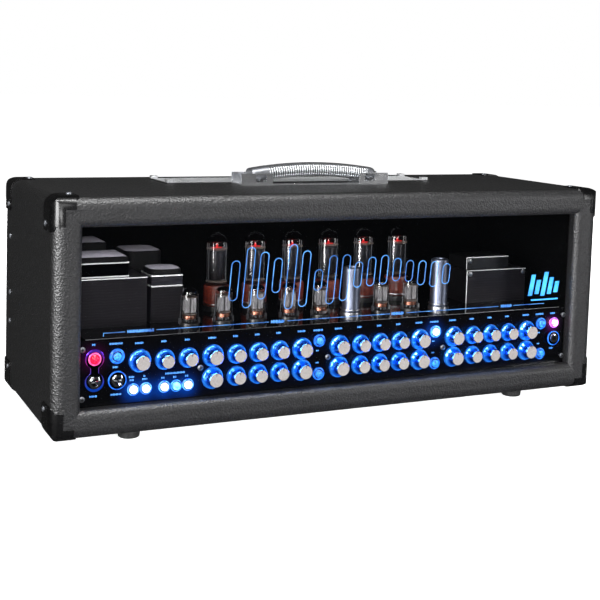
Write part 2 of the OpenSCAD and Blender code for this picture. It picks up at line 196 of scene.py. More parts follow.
# %% Pieces
def piece(name, parts, body="amp", replaces=(), bevel=0.0, sharp=35, doubles=True):
    """One object from (material, shape) pairs in millimetres. It rides on a body and may stand for
    CAD nodes. A bevel rounds its edges by that many millimetres."""
    points, faces = joined(shape for _, shape in parts)
    mesh = bpy.data.meshes.new(name)
    mesh.from_pydata((points * 0.001).tolist(), [], faces.tolist())
    finishes = list(dict.fromkeys(m for m, _ in parts))
    for m in finishes:
        mesh.materials.append(m)
    which = np.concatenate([np.full(len(s[1]), finishes.index(m)) for m, s in parts])
    mesh.polygons.foreach_set("material_index", which.astype(np.int32))
    if doubles:
        shell = bmesh.new()
        shell.from_mesh(mesh)
        bmesh.ops.remove_doubles(shell, verts=shell.verts, dist=1e-6)
        bmesh.ops.recalc_face_normals(shell, faces=shell.faces)
        shell.to_mesh(mesh)
        shell.free()
    mesh.shade_smooth()
    mesh.set_sharp_from_angle(angle=radians(sharp))
    obj = bpy.data.objects.new(name, mesh)
    bpy.context.scene.collection.objects.link(obj)
    return finish(obj, body, replaces, bevel)


def finish(obj, body, replaces=(), bevel=0.0):
    """Rounds the edges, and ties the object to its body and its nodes."""
    if bevel:
        rounded = obj.modifiers.new("rounded edges", "BEVEL")
        rounded.width, rounded.segments, rounded.limit_method = bevel * 0.001, 2, "ANGLE"
        rounded.angle_limit = radians(40)
        rounded.harden_normals = True
    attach(obj, body)
    if replaces:
        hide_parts(*replaces)
    print(f"{obj.name}: {len(obj.data.polygons)} faces")
    return obj


def copy_of(node, made, bevel):
    """A CAD node's mesh with its loose triangles joined, so that its edges can be rounded."""
    mesh = nodes[node].data.copy()
    mesh.name = node + "_rounded"
    shell = bmesh.new()
    shell.from_mesh(mesh)
    bmesh.ops.remove_doubles(shell, verts=shell.verts, dist=2e-5)
    bmesh.ops.dissolve_limit(shell, angle_limit=radians(1), verts=shell.verts, edges=shell.edges)
    shell.to_mesh(mesh)
    shell.free()
    mesh.materials.clear()
    mesh.materials.append(made)
    mesh.shade_smooth()
    mesh.set_sharp_from_angle(angle=radians(35))
    obj = bpy.data.objects.new(node + "_rounded", mesh)
    bpy.context.scene.collection.objects.link(obj)
    return finish(obj, nodes[node]["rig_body"], (node,), bevel)


def dress(node, made):
    """Gives a CAD node a better material and leaves its shape alone."""
    for s in nodes[node].material_slots:
        s.material = made
    nodes[node].data.materials[0] = made
    print(node, "wears", made.name)

# %% [markdown]
# ## Materials
# Colours are written as the hex values a screen shows, and one function turns them to the linear
# numbers that light needs. One more function adds a node with its settings and its links, and each
# material below is a short list of such nodes round one Principled shader.

# %% Colour and nodes
def lin(hex_colour):
    """sRGB hex to linear RGBA: values up to 0.04045 are divided by 12.92, the rest follow a 2.4 power."""
    c = np.array([int(hex_colour[k:k + 2], 16) for k in (1, 3, 5)]) / 255
    c = np.where(c <= 0.04045, c / 12.92, ((c + 0.055) / 1.055) ** 2.4)
    return (*c.tolist(), 1.0)


def add(tree, kind, settings=None, links=None):
    """Adds one node. A setting is an input's value or a property, and a link feeds an input."""
    made = tree.nodes.new("ShaderNode" + kind)
    for key, value in (settings or {}).items():
        if isinstance(key, int) or key in made.inputs:
            made.inputs[key].default_value = value
        else:
            setattr(made, key, value)
    for key, source in (links or {}).items():
        tree.links.new(source, made.inputs[key])
    return made


def material(name, settings):
    """A new material with its Principled shader set up. Returns the material, its tree and shader."""
    made = bpy.data.materials.new(name)
    made.use_nodes = True
    shader = made.node_tree.nodes["Principled BSDF"]
    for key, value in settings.items():
        shader.inputs[key].default_value = value
    return made, made.node_tree, shader


def ramp(tree, source, stops):
    """A colour ramp over (position, hex colour) stops."""
    made = add(tree, "ValToRGB", None, {"Fac": source})
    while len(made.color_ramp.elements) < len(stops):
        made.color_ramp.elements.new(0.5)
    for element, (at, colour) in zip(made.color_ramp.elements, stops):
        element.position, element.color = at, lin(colour)
    return made


def bump(tree, shader, height, depth_mm, strength):
    """Sinks or lifts the surface by a height map that stands for so many millimetres."""
    made = add(tree, "Bump", {"Strength": strength, "Distance": depth_mm * 0.001}, {"Height": height})
    tree.links.new(made.outputs["Normal"], shader.inputs["Normal"])


def object_coordinates(tree, stretch=(1, 1, 1)):
    """Object coordinates in metres, stretched along each axis."""
    where = add(tree, "TexCoord")
    return add(tree, "Mapping", {"Scale": stretch}, {"Vector": where.outputs["Object"]}).outputs[0]


def surface(name, settings, scale, detail=2.0, stretch=(1, 1, 1), tones=None, rough=None, dent=None,
            glow=0.0, distortion=0.0):
    """A material broken up by one noise. The noise blends the tones, sets the roughness between two
    values, dents the surface by (millimetres, strength), and a glow sends the tones out as light."""
    made, tree, shader = material(name, settings)
    grain = add(tree, "TexNoise", {"Scale": scale, "Detail": detail, "Distortion": distortion},
                {"Vector": object_coordinates(tree, stretch)}).outputs["Fac"]
    if tones:
        tone = ramp(tree, grain, tones).outputs[0]
        tree.links.new(tone, shader.inputs["Base Color"])
    if rough:
        level = add(tree, "MapRange", {"To Min": rough[0], "To Max": rough[1]}, {"Value": grain})
        tree.links.new(level.outputs[0], shader.inputs["Roughness"])
    if dent:
        bump(tree, shader, grain, *dent)
    if glow:
        tree.links.new(tone, shader.inputs["Emission Color"])
        shader.inputs["Emission Strength"].default_value = glow
    return made


WHITE = (1.0, 1.0, 1.0, 1.0)

# %% [markdown]
# ### The covered box
# The box is plywood wrapped in embossed vinyl. Rollers press a pebble grain into it: little cushions
# about 1 mm across with narrow valleys between. The tops are polished by handling and catch the
# light, and the valleys stay dull; their colour is darker too, a painted shade in the creases. Inside
# the walls the vinyl turns near-black and matt: painted shade for the dark inside of the box.

# %% Vinyl covering
def embossed_vinyl():
    """Black embossed PVC cloth: pebbles 1.1 mm across, drawn twice as coarse so that they show."""
    made, tree, shader = material("embossed black vinyl", {"Metallic": 0.0, "IOR": 1.5})
    where = object_coordinates(tree)
    pebbles = add(tree, "TexVoronoi", {"feature": "SMOOTH_F1", "Scale": 430.0, "Smoothness": 0.6},
                  {"Vector": where})
    wander = add(tree, "TexNoise", {"Scale": 240.0, "Detail": 3.0}, {"Vector": where})
    stain = add(tree, "TexNoise", {"Scale": 7.0, "Detail": 4.0}, {"Vector": where})
    # painted shade: the colour darkens from the middle of each pebble out to the valleys around it
    tone = ramp(tree, pebbles.outputs["Distance"], [(0.1, "#272729"), (0.75, "#161617")])
    shade = add(tree, "Mix", {"data_type": "RGBA", "blend_type": "MULTIPLY", 0: 0.35},
                {6: tone.outputs[0], 7: stain.outputs["Fac"]})
    # painted shade, near-black and matt, wherever a point lies inside the walls: four tests, multiplied
    # together
    at = add(tree, "SeparateXYZ", None, {0: where})
    side = add(tree, "Math", {"operation": "ABSOLUTE"}, {0: at.outputs["X"]})
    inside_shade_mask = None
    for axis, operation, limit in ((side.outputs[0], "LESS_THAN", 0.3775),
                                   (at.outputs["Y"], "GREATER_THAN", -0.1215),
                                   (at.outputs["Z"], "LESS_THAN", 0.2845),
                                   (at.outputs["Z"], "GREATER_THAN", 0.0315)):
        test = add(tree, "Math", {"operation": operation, 1: limit}, {0: axis})
        if inside_shade_mask:
            test = add(tree, "Math", {"operation": "MULTIPLY"}, {0: inside_shade_mask.outputs[0], 1: test.outputs[0]})
        inside_shade_mask = test
    colour = add(tree, "Mix", {"data_type": "RGBA", 7: lin("#030303")},
                 {0: inside_shade_mask.outputs[0], 6: shade.outputs[2]})
    tree.links.new(colour.outputs[2], shader.inputs["Base Color"])
    sheen = add(tree, "MapRange", {"To Min": 0.5, "To Max": 0.05}, {"Value": inside_shade_mask.outputs[0]})
    tree.links.new(sheen.outputs[0], shader.inputs["Specular IOR Level"])
    rough = add(tree, "MapRange", {"From Min": 0.1, "From Max": 0.8, "To Min": 0.30, "To Max": 0.52},
                {"Value": pebbles.outputs["Distance"]})
    dull = add(tree, "Math", {"operation": "MAXIMUM"}, {0: rough.outputs[0], 1: inside_shade_mask.outputs[0]})
    tree.links.new(dull.outputs[0], shader.inputs["Roughness"])
    height = add(tree, "Math", {"operation": "SUBTRACT"},
                 {0: wander.outputs["Fac"], 1: pebbles.outputs["Distance"]})
    bump(tree, shader, height.outputs[0], 0.6, 0.9)
    return made


vinyl = embossed_vinyl()
dress("cabinet", vinyl)

# %% [markdown]
# ### Corners and feet
# The corners are moulded black nylon: glossy, with the faint waviness of a cooled skin. The feet are
# turned from filled black rubber, which is matt and has a fine bloom.

# %% Hard black and rubber
nylon = surface("moulded black nylon", {"Base Color": lin("#0a0a0b"), "IOR": 1.53, "Specular IOR Level": 0.3},
                90.0, rough=(0.20, 0.34), dent=(0.3, 0.12))
rubber = surface("filled black rubber", {"IOR": 1.52, "Roughness": 0.68}, 300.0, 4.0,
                 tones=((0.3, "#121212"), (0.8, "#262626")), dent=(0.2, 0.3))
copy_of("corner_protectors", nylon, 0.6)
dress("rubber_feet", rubber)

# %% [markdown]
# ### Bright metals
# Five metal finishes cover most of the rest: polished chrome, brushed steel, satin aluminium, the
# grey zinc of screws and of parts nobody sees, and the nickel of the handle's brackets. A brushed
# finish is a noise stretched along the strokes, so that the roughness changes in streaks. Metals have
# no diffuse colour: their tint is in the reflection. A few are set less than fully metallic, so that
# they also catch light from every side and don't turn black where they mirror the dark.

# %% Metals
def metal(name, tint, roughness, scale=400.0, streak=(1, 1, 1), spread=0.12, metallic=1.0):
    """A metal whose roughness wanders by `spread` in streaks along the axis with the small stretch."""
    return surface(name, {"Metallic": metallic}, scale, 3.0, streak, ((0.25, tint[0]), (0.75, tint[1])),
                   (roughness - spread / 2, roughness + spread / 2), (0.02, 0.4))


chrome = metal("polished chrome plate", ("#d4d6da", "#eceef1"), 0.10, 60.0, spread=0.06)
brushed = metal("brushed stainless steel", ("#8f9196", "#c4c6ca"), 0.32, 900.0, (0.05, 1, 1))
satin = metal("satin aluminium", ("#b9bbc0", "#dcdee2"), 0.34, 700.0)
zinc = metal("dull zinc plate", ("#7c7f86", "#a0a3a8"), 0.45, 200.0)
nickel = metal("bright nickel plate", ("#d0d2d6", "#f2f3f5"), 0.2, 120.0, spread=0.06, metallic=0.86)
copy_of("handle_brackets", nickel, 0.9)
dress("screws", zinc)

# %% [markdown]
# ### The clear front and the deck
# The front is cast acrylic, 4 mm thick, lightly smoked. It is drawn as a thin dark film that lets
# most of the light straight through, so the lamps outside still reach the valves and the picture
# stays clean; polishing haze makes its reflections a little uneven. The chassis is folded steel in
# gloss black enamel, and its deck mirrors the valves that stand on it.

# %% Clear acrylic and black enamel
acrylic = surface("smoked cast acrylic", {"Base Color": lin("#050608"), "IOR": 1.49, "Alpha": 0.12},
                  14.0, 3.0, rough=(0.02, 0.07))
enamel = surface("gloss black stove enamel", {"Base Color": lin("#060607"), "IOR": 1.55},
                 320.0, 1.0, rough=(0.05, 0.13), dent=(0.05, 0.15))
dress("front_window", acrylic)
dress("chassis", enamel)

# %% [markdown]
# ## The control panel
# Every knob sits over a ring of blue light, and every button is a lit lens. The table below repeats
# where each control is. The frame's joints hold the same axes, so the table is checked against them.

# %% Where the controls are
PITCH, MASTER_X = 177.7, -188.6
UPPER, LOWER = 85.5, 57.3
BIG, SMALL = (13.4, 9.4), (12.0, 8.5)
knobs = [("knob_volume", -283.5, UPPER + 0.8, BIG), ("knob_presence", -251.5, UPPER, SMALL),
         ("knob_resonance", -221.0, UPPER, SMALL)]
for amp in range(3):
    for row, z in (("a", UPPER), ("b", LOWER)):
        for label, step in zip(("master", "treble", "mid", "bass", "gain"), (0, 32, 61.8, 91.6, 123.6)):
            size = BIG if label in ("master", "gain") else SMALL
            knobs.append((f"knob_amp{amp + 1}_{row}_{label}", MASTER_X + amp * PITCH + step, z, size))
# name, x, z, bezel radius, light
buttons = [("button_midi_learn", -312.4, 94.2, 9.4, "blue"), ("button_noise_gate", -291.6, 51.8, 7.4, "white"),
           ("button_fx_loop", -275.6, 51.8, 7.4, "white"), ("button_tubes_12", -252.1, 51.8, 7.4, "white"),
           ("button_tubes_34", -236.7, 51.8, 7.4, "cyan"), ("button_tubes_56", -221.3, 51.8, 7.4, "white"),
           ("button_boost", 338.2, 94.2, 7.4, "pink")]
for amp in range(3):
    for row, z in (("a", 94.4), ("b", 50.6)):
        light = "white" if (amp, row) == (1, "a") else "blue"
        buttons.append((f"button_amp{amp + 1}_{row}", -40.6 + amp * PITCH, z, 8.3, light))
POWER_X, STANDBY_X, SWITCH_Z = -339.8, -311.6, 64.6
toggles = [("toggle_power", POWER_X, 1), ("toggle_standby", STANDBY_X, -1)]
LAMP, JACK = (POWER_X, 92.8), (338.2, 71.6)
off = [np.hypot(j["pos_m"][0] * 1000 - x, j["pos_m"][2] * 1000 - FOOT - z)
       for j in frame["joints"] for n, x, z, _ in knobs if j["child"] == n]
print(len(knobs), "knobs, furthest from its joint by", round(max(off), 3), "mm;", len(buttons), "buttons")

# %% [markdown]
# A lit part is translucent plastic with a lamp behind it. An emission colour stands for the lamp,
# and a noise of a few millimetres breaks it up, as the lamp never lights a lens evenly.

# %% Lit plastics and inks
def lit(name, dark, bright, strength, roughness=0.25, scale=220.0, metallic=0.0):
    """Glowing surface: the emission wanders between a dark and a bright colour."""
    return surface(name, {"Roughness": roughness, "Metallic": metallic}, scale,
                   tones=((0.3, dark), (0.7, bright)), glow=strength)


LENS = {"blue": lit("blue lit polycarbonate", "#062c86", "#2f8cf4", 0.8, scale=300.0),
        "white": lit("white lit polycarbonate", "#9cd0ff", "#ffffff", 1.15, scale=420.0),
        "cyan": lit("cyan lit polycarbonate", "#1f7fd8", "#7fdcff", 1.1),
        "pink": lit("pink lit polycarbonate", "#ff5a8c", "#ffd6ea", 2.2)}
RIM = {"blue": lit("blue lit bezel", "#032a80", "#2470e0", 0.6, 0.18),
       "white": lit("bright blue lit bezel", "#0a48e8", "#58a8ff", 1.0, 0.18),
       "cyan": lit("cyan lit bezel", "#0a4fd0", "#49a6ff", 0.9, 0.18),
       "pink": lit("pink lit bezel", "#7a1fd0", "#e07cff", 1.2, 0.18)}


def chrome_in_blue_light():
    """Polished chrome over a blue lamp ring, with the ring's light on it painted in as a glow: the glow
    is strongest at the foot, 2 mm off the panel, and has faded where the straight cap begins, 10 mm off it."""
    made, tree, shader = material("chrome with painted blue glow", {"Metallic": 1.0, "Base Color": lin("#4f90e8")})
    where = object_coordinates(tree)
    at = add(tree, "SeparateXYZ", None, {0: where})
    off = add(tree, "MapRange", {"From Min": -0.1255, "From Max": -0.1345}, {"Value": at.outputs["Y"]})
    smear = add(tree, "TexNoise", {"Scale": 160.0, "Detail": 2.0}, {"Vector": where})
    mixed = add(tree, "Math", {"operation": "MULTIPLY_ADD", 1: 0.7, 2: -0.35}, {0: smear.outputs["Fac"]})
    level = add(tree, "Math", {"operation": "ADD"}, {0: off.outputs[0], 1: mixed.outputs[0]})
    tone = ramp(tree, level.outputs[0], [(0.0, "#2f97ff"), (0.3, "#0a62e8"), (0.62, "#0636a8"),
                                         (1.0, "#04123c")])
    tree.links.new(tone.outputs[0], shader.inputs["Emission Color"])
    shader.inputs["Emission Strength"].default_value = 0.75
    rough = add(tree, "MapRange", {"To Min": 0.08, "To Max": 0.2}, {"Value": smear.outputs["Fac"]})
    tree.links.new(rough.outputs[0], shader.inputs["Roughness"])
    return made


chrome_painted_blue_glow = chrome_in_blue_light()
blue_ink = lit("blue lit engraving", "#0f4a9c", "#4c98e4", 0.7, 0.4, 60.0)
label_ink = lit("pale blue screen ink", "#256cc0", "#4c98e6", 0.75, 0.5, 300.0)

# %% [markdown]
# ### The glowing black panel
# The lower part of the clear front is printed black on its back, and the lamps behind it spill blue
# light into the print. The spill is worked out on a fine grid: each lamp adds its colour times a bell
# curve of the distance, e to the minus (distance over width) squared. The sums are stored as a colour
# on the mesh, and the material reads them.

# %% Panel print
def panel_print():
    """A flat grid behind the clear front with the lamps' spill as a colour attribute."""
    x, z = np.linspace(-358.0, 358.0, 478), np.linspace(34.6, 114.6, 56)
    gx, gz = np.meshgrid(x, z, indexing="ij")
    lamps = [(kx, kz - 2.0, 13.5, (0.0, 0.003, 0.026)) for _, kx, kz, _ in knobs]
    spill = {"blue": (0.0, 0.006, 0.04), "white": (0.0, 0.06, 0.48), "cyan": (0.0, 0.03, 0.24),
             "pink": (0.12, 0.01, 0.16)}
    lamps += [(bx, bz - 3.0, 11.5 if light in ("white", "cyan") else 9.0, spill[light])
              for _, bx, bz, _, light in buttons]
    lamps += [(LAMP[0], LAMP[1], 12.0, (0.06, 0.0, 0.05))]
    c = np.array([[a, b, w] for a, b, w, _ in lamps])
    rgb = np.array([v for *_, v in lamps])
    fall = np.exp(-((gx[..., None] - c[:, 0]) ** 2 + (gz[..., None] - c[:, 1]) ** 2) / c[:, 2] ** 2)
    colour = np.tensordot(fall, rgb, 1)
    made, tree, shader = material("black panel print", {"Base Color": lin("#030304"), "IOR": 1.5})
    paint = add(tree, "Attribute", {"attribute_name": "spill"})
    streak = add(tree, "TexNoise", {"Scale": 70.0, "Detail": 2.0}, {"Vector": object_coordinates(tree)})
    uneven = add(tree, "MapRange", {"To Min": 0.5, "To Max": 1.5}, {"Value": streak.outputs["Fac"]})
    glow = add(tree, "VectorMath", {"operation": "SCALE"},
               {0: paint.outputs["Color"], "Scale": uneven.outputs[0]})
    tree.links.new(glow.outputs[0], shader.inputs["Emission Color"])
    shader.inputs["Emission Strength"].default_value = 1.0
    shader.inputs["Roughness"].default_value = 0.06
    flat = grid(np.stack([gx, gz * 0, gz], -1))
    obj = piece("panel_print", [(made, moved(flat, upright, d=20.1))], doubles=False)
    layer = obj.data.color_attributes.new("spill", "FLOAT_COLOR", "POINT")
    layer.data.foreach_set("color", np.concatenate([colour, np.ones(colour.shape[:2] + (1,))], -1).ravel())
    return obj


panel_print()

# %% [markdown]
# ### Knobs
# A knob is turned on a lathe: a wide foot, a hollow flare and a straight cap. The flare is chrome with
# the blue ring's light painted on it as a glow, and the cap's face is satin aluminium with a dark pointer line.

# %% Knobs
KNOB_L = 14.4    # from the clear front to the end of the cap
# black fill for pointer lines and socket bodies, also used as painted shade in the buttons' gaps, the screws'
# slots and inside the shield cans
black_fill_and_shade = lit("black fill and painted shade", "#050506", "#0c0c0e", 0.0, 0.5)
cap_face = metal("satin knob cap", ("#7a7573", "#979290"), 0.42, 800.0, spread=0.1, metallic=0.35)


def at_panel(x, z, *parts):
    """(material, shape) pairs taken to one place on the panel."""
    return [(m, moved(s, on_front, x=x, z=z)) for m, s in parts]


def knob_shape(base, cap):
    """Foot, then a flare whose radius falls as (1 - t) squared up the knob, then the straight cap."""
    t = np.linspace(0, 1, 10)
    flare = np.stack([cap + 0.3 + (base - 1.4 - cap) * (1 - t) ** 2, 2.8 + 6.4 * t], 1)
    body = np.concatenate([[[5.4, 0.7], [base - 0.6, 0.7], [base - 0.1, 1.0], [base, 1.5], [base - 0.2, 2.1],
                            [base - 0.9, 2.5]], flare, [[cap + 0.1, 9.6], [cap + 0.1, 9.9], [cap, 10.2]]])
    crown = [[cap, 10.2], [cap, KNOB_L - 0.9], [cap - 0.25, KNOB_L - 0.35], [cap - 0.8, KNOB_L]]
    face = [[cap - 0.8, KNOB_L], [cap - 1.4, KNOB_L - 0.05], [0.0, KNOB_L - 0.05]]
    shaft = [[5.4, 0.7], [3, 0.9], [3, -11], [0, -11]]
    line = blocks((-0.45, cap - 4.2, KNOB_L - 0.2, 0.45, cap - 0.9, KNOB_L))
    return [(chrome_painted_blue_glow, turned(body, 40)), (chrome_painted_blue_glow, turned(crown, 40)), (cap_face, turned(face, 40)),
            (zinc, turned(shaft, 16)), (black_fill_and_shade, line)]


for name, x, z, (base, cap) in knobs:
    piece(name + "_turned", at_panel(x, z, *knob_shape(base, cap)), body=name, replaces=(name,))

# %% [markdown]
# A button is a plunger with a softly domed end, its edge rounded in four steps. Its slot tells which
# lamp it carries, so that a user of the model can light or darken each kind.

# %% Buttons
plunger = turned([[0, -12], [5, -12], [5, 3.2], [4.75, 3.9], [4.1, 4.4], [2.6, 4.7], [0, 4.8]])
for name, x, z, _, light in buttons:
    piece(name + "_lens", at_panel(x, z, (LENS[light], plunger)), body=name, replaces=(name,))

# %% [markdown]
# A toggle's lever is turned too, with a ball-like end. It is tipped by 13 degrees about a cross pin
# that lies 1.5 mm in front of the panel, up for one switch and down for the other.

# %% Toggle levers
lever = turned([[0, -4], [1.4, -4], [1.4, 4], [1.7, 6.5], [2.3, 10], [2.45, 11], [2.3, 12], [1.6, 12.8],
                [0, 13]], 20)
pin = turned([[0, -4.7], [1, -4.7], [1, 4.7], [0, 4.7]], 12)
across = (pin[0][:, [2, 1, 0]] * [1, 1, -1] + [0, 0, 1.5], pin[1])
for name, x, way in toggles:
    c, s = np.cos(radians(13)), -way * np.sin(radians(13))
    tipped = lever[0] @ np.array([[1, 0, 0], [0, c, s], [0, -s, c]]) + [0, 0, 1.5]
    piece(name + "_lever", at_panel(x, SWITCH_Z, (chrome, (tipped, lever[1])), (zinc, across)),
          body=name, replaces=(name,))

# %% [markdown]
# ### Everything else on the panel
# Potentiometers, switch bodies and the circuit board sit behind the wall. In front of it are the
# button bezels, the hexagonal nuts of the switches, the pilot lamp in its chrome plate, and the jack.
# Rings are closed profiles: their first and last points meet inside the hole.

# %% Rings, nuts and the lamp's plate
def ring(r_in, r_out, h, edge=0.4, z=0.0, n=40):
    """A flat ring with its outer upper edge rounded off by `edge`."""
    return turned([[r_in, z], [r_out, z], [r_out, z + h - edge], [r_out - 0.3 * edge, z + h - 0.3 * edge],
                   [r_out - edge, z + h], [r_in, z + h], [r_in, z]], n)


def hexagon(r_in, r_out, h, z):
    """A nut: a ring with six flats."""
    return turned([[r_in, z], [r_out - 0.6, z], [r_out, z + 0.4], [r_out, z + h - 0.4], [r_out - 0.7, z + h],
                   [r_in, z + h], [r_in, z]], 6)


def lamp_plate():
    """Two rings joined by a waist: the outline is the larger of the two circles' reach and the waist."""
    t = np.linspace(0, 2 * np.pi, 96, endpoint=False)
    gap = (LAMP[1] - SWITCH_Z) / 2
    # radius from the middle of the plate to its edge, found along each direction
    out = np.linspace(0.0, 30.0, 601)
    x, y = out[:, None] * np.cos(t), out[:, None] * np.sin(t)
    within = (np.hypot(x, np.abs(y) - gap) < 11.6) | ((np.abs(x) < 5.2) & (np.abs(y) < gap))
    r = out[np.where(within, np.arange(601)[:, None], 0).max(0)]
    edge = np.stack([r * np.cos(t), r * np.sin(t)], 1)
    rows = np.array([[1, 0], [1, 0.9], [0.97, 1.2], [0.90, 1.2], [0.88, 0.6], [0, 0.6]])
    rim = np.concatenate([edge[None] * rows[:, None, :1], np.broadcast_to(rows[:, None, 1:], (6, 96, 1))], -1)
    return grid(rim[:5], close_v=True), grid(rim[4:], close_v=True)


def chrome_in_lamp_light():
    """Polished chrome between the red pilot lamp above and the blue panel lamps below it; their light on it is
    painted in as its colour and glow.
    """
    made, tree, shader = material("chrome with painted violet glow", {"Metallic": 1.0, "Roughness": 0.14})
    at = add(tree, "SeparateXYZ", None, {0: object_coordinates(tree)})
    up = add(tree, "MapRange", {"From Min": 0.072, "From Max": 0.112}, {"Value": at.outputs["Z"]})
    tone = ramp(tree, up.outputs[0], [(0.0, "#1450d8"), (0.45, "#6a54e8"), (0.75, "#c83cb0"),
                                      (1.0, "#5a2cb8")])
    tree.links.new(tone.outputs[0], shader.inputs["Emission Color"])
    tree.links.new(tone.outputs[0], shader.inputs["Base Color"])
    shader.inputs["Emission Strength"].default_value = 0.55
    return made


chrome_painted_lamp_glow = chrome_in_lamp_light()
black_chrome = metal("black chrome", ("#15151a", "#2a2a32"), 0.2, 200.0)
red_lens = lit("ruby lens lit from behind", "#c8001e", "#ff1c40", 0.95, 0.08, 500.0)
red_halo = lit("rose light on chrome", "#d01c70", "#ff7ab8", 1.0, 0.2, 150.0, 0.6)

# %% [markdown]
# Most fittings are a ring or two at a control's place. The screws' crosses are dark bars that stand
# just proud of the heads, painted shade for their slots, and a thin bright steel bead along the panel's
# top edge is a painted highlight where the chassis edge catches the light.

# %% Bezels, lamp, nuts, jack and screws
front = []
# the dark ring between each lens and its bezel is painted shade in the gap
for _, x, z, bezel, light in buttons:
    front += at_panel(x, z, (RIM[light], ring(6.4, bezel, 2.2, 1.0)), (black_fill_and_shade, ring(5.2, 6.4, 1.6, 0.2)))
for _, x, z, (base, _) in knobs:
    front += at_panel(x, z, (RIM["blue"], ring(base + 0.25, base + 0.65, 0.4, 0.2, 0.0, 48)))
front += at_panel(POWER_X, (LAMP[1] + SWITCH_Z) / 2, *zip((chrome_painted_lamp_glow, black_chrome), lamp_plate()))
dome = turned([[0, 0.5], [6.2, 0.5], [6.2, 2.4], [5.9, 3.4], [5, 4.6], [3.6, 5.6], [1.8, 6.2], [0, 6.4]])
front += at_panel(*LAMP, (red_halo, ring(6.3, 8.0, 2.0, 0.8)), (red_lens, dome))
front += at_panel(STANDBY_X, SWITCH_Z, (RIM["blue"], ring(10.3, 11.6, 1.3, 0.6)),
                  (black_chrome, ring(6.3, 10.3, 0.7, 0.2)))
# painted highlight: a bright steel bead where the black chassis edge catches the light
edge_highlight_bead = tube([[-350, 21, 115.1], [0, 21, 115.1], [350, 21, 115.1]], 0.45, 6, (0, 0, 1))
front.append((brushed, moved(edge_highlight_bead, upright)))
for _, x, _ in toggles:
    front += at_panel(x, SWITCH_Z, (chrome, hexagon(4.9, 8.0, 2.2, 1.2)),
                      (chrome, ring(4.8, 6.0, 15.6, 0.5, -12.0, 24)))
socket = turned([[0, -20], [3.3, -20], [3.3, 2], [6.2, 2], [6.2, -24], [0, -24]])
front += at_panel(*JACK, (RIM["blue"], ring(9.2, 10.4, 1.4, 0.5)), (black_chrome, ring(3.4, 9.2, 1.2, 0.3)),
                  (chrome, ring(3.3, 6.2, 3.0, 0.9)), (black_fill_and_shade, socket))
# painted shade: dark bars for the shade in the screws' cross slots
cross = blocks((-1.7, -0.45, 1.3, 1.7, 0.45, 1.75), (-0.45, -1.7, 1.3, 0.45, 1.7, 1.75))
heads = [(side * 354.8, z) for side in (-1, 1) for z in (104.6, 44.6)]
for x, z in heads + [(-205 + PITCH * k, 71.4) for k in range(3)]:
    front += at_panel(x, z, (black_fill_and_shade, cross))
piece("panel_fittings", front, replaces=("panel_hardware",))

# %% [markdown]
# Behind the wall each knob turns a potentiometer, a flat metal can, and each button presses a switch
# on one green circuit board. The back has a mains inlet with three blades and a row of six jacks.

# %% Behind the panel and at the back
fibreglass = surface("green lacquered circuit board", {"Base Color": lin("#12402a"), "Roughness": 0.4},
                     900.0, dent=(0.05, 0.3))
phenolic = surface("black phenolic moulding", {"Base Color": lin("#0c0c0d"), "Roughness": 0.38},
                   500.0, dent=(0.05, 0.3))
can = [[5.3, 0.5], [5.3, -6.4], [8, -6.4], [8.3, -6.8], [8.3, -15.6], [8, -16], [0, -16]]
behind = [(zinc, moved(joined([turned(can, 20), turned([[3.2, 0.4], [5.3, 0.5]], 20)]), on_front, x=x, z=z))
          for _, x, z, _ in knobs]
cases = blocks(*[(x - 6, 30, z - 6, x + 6, 39.5, z + 6) for _, x, z, _, _ in buttons])
board = blocks((-345, 40, 30, 345, 41.6, 106))
behind += [(phenolic, moved(cases, upright)), (fibreglass, moved(board, upright))]
piece("switches_and_board", behind, bevel=0.3)

inlet = blocks((-14, -24, -18, -9, 24, 2), (9, -24, -18, 14, 24, 2), (-9, -24, -18, 9, -13, 2),
               (-9, 13, -18, 9, 24, 2), (-9, -13, -18, 9, 13, -14))
blades = blocks((-1, -8, -14, 1, -5, -2), (-1, 5, -14, 1, 8, -2), (-6, -1.5, -14, -4, 1.5, -2))
rear = [(-290, phenolic, inlet), (-290, brushed, blades)]
for k in range(6):
    rear += [(-120 + 36 * k, m, s) for m, s in ((chrome, hexagon(3.4, 9.0, 2.0, 0.0)),
                                                (chrome, ring(3.3, 6.2, 3.0, 0.9)), (black_fill_and_shade, socket))]
piece("rear_sockets", [(m, moved(s, on_back, x=x, z=67, d=262)) for x, m, s in rear],
      bevel=0.4)

# %% [markdown]
# ### Printed marks and the engraved front
# Each control has a short label. Lettering isn't drawn: a label is a row of tiny upright strokes of
# uneven height, which reads as print at arm's length. Thin rules and wider labels run above them.

# %% Labels and rules
def label(x, z, width, height=2.4):
    """A row of strokes 0.8 mm wide every 1.35 mm; every third one is short, every fourth is low."""
    k = np.arange(max(2, int(width / 1.35)))
    x0 = x - width / 2 + 1.35 * k
    tall = np.where(k % 3 == 1, 0.62, 1.0) * height
    base = z - height / 2 + np.where(k % 4 == 2, 0.0, (height - tall) * 0.5)
    y = np.full(len(k), INK_D)
    return blocks(*np.stack([x0, y, base, x0 + 0.8, y + 0.5, base + tall], 1))


def dash(x0, x1, z=122.6, h=0.55):
    """A level line."""
    return blocks((x0, INK_D, z - h / 2, x1, INK_D + 0.5, z + h / 2))


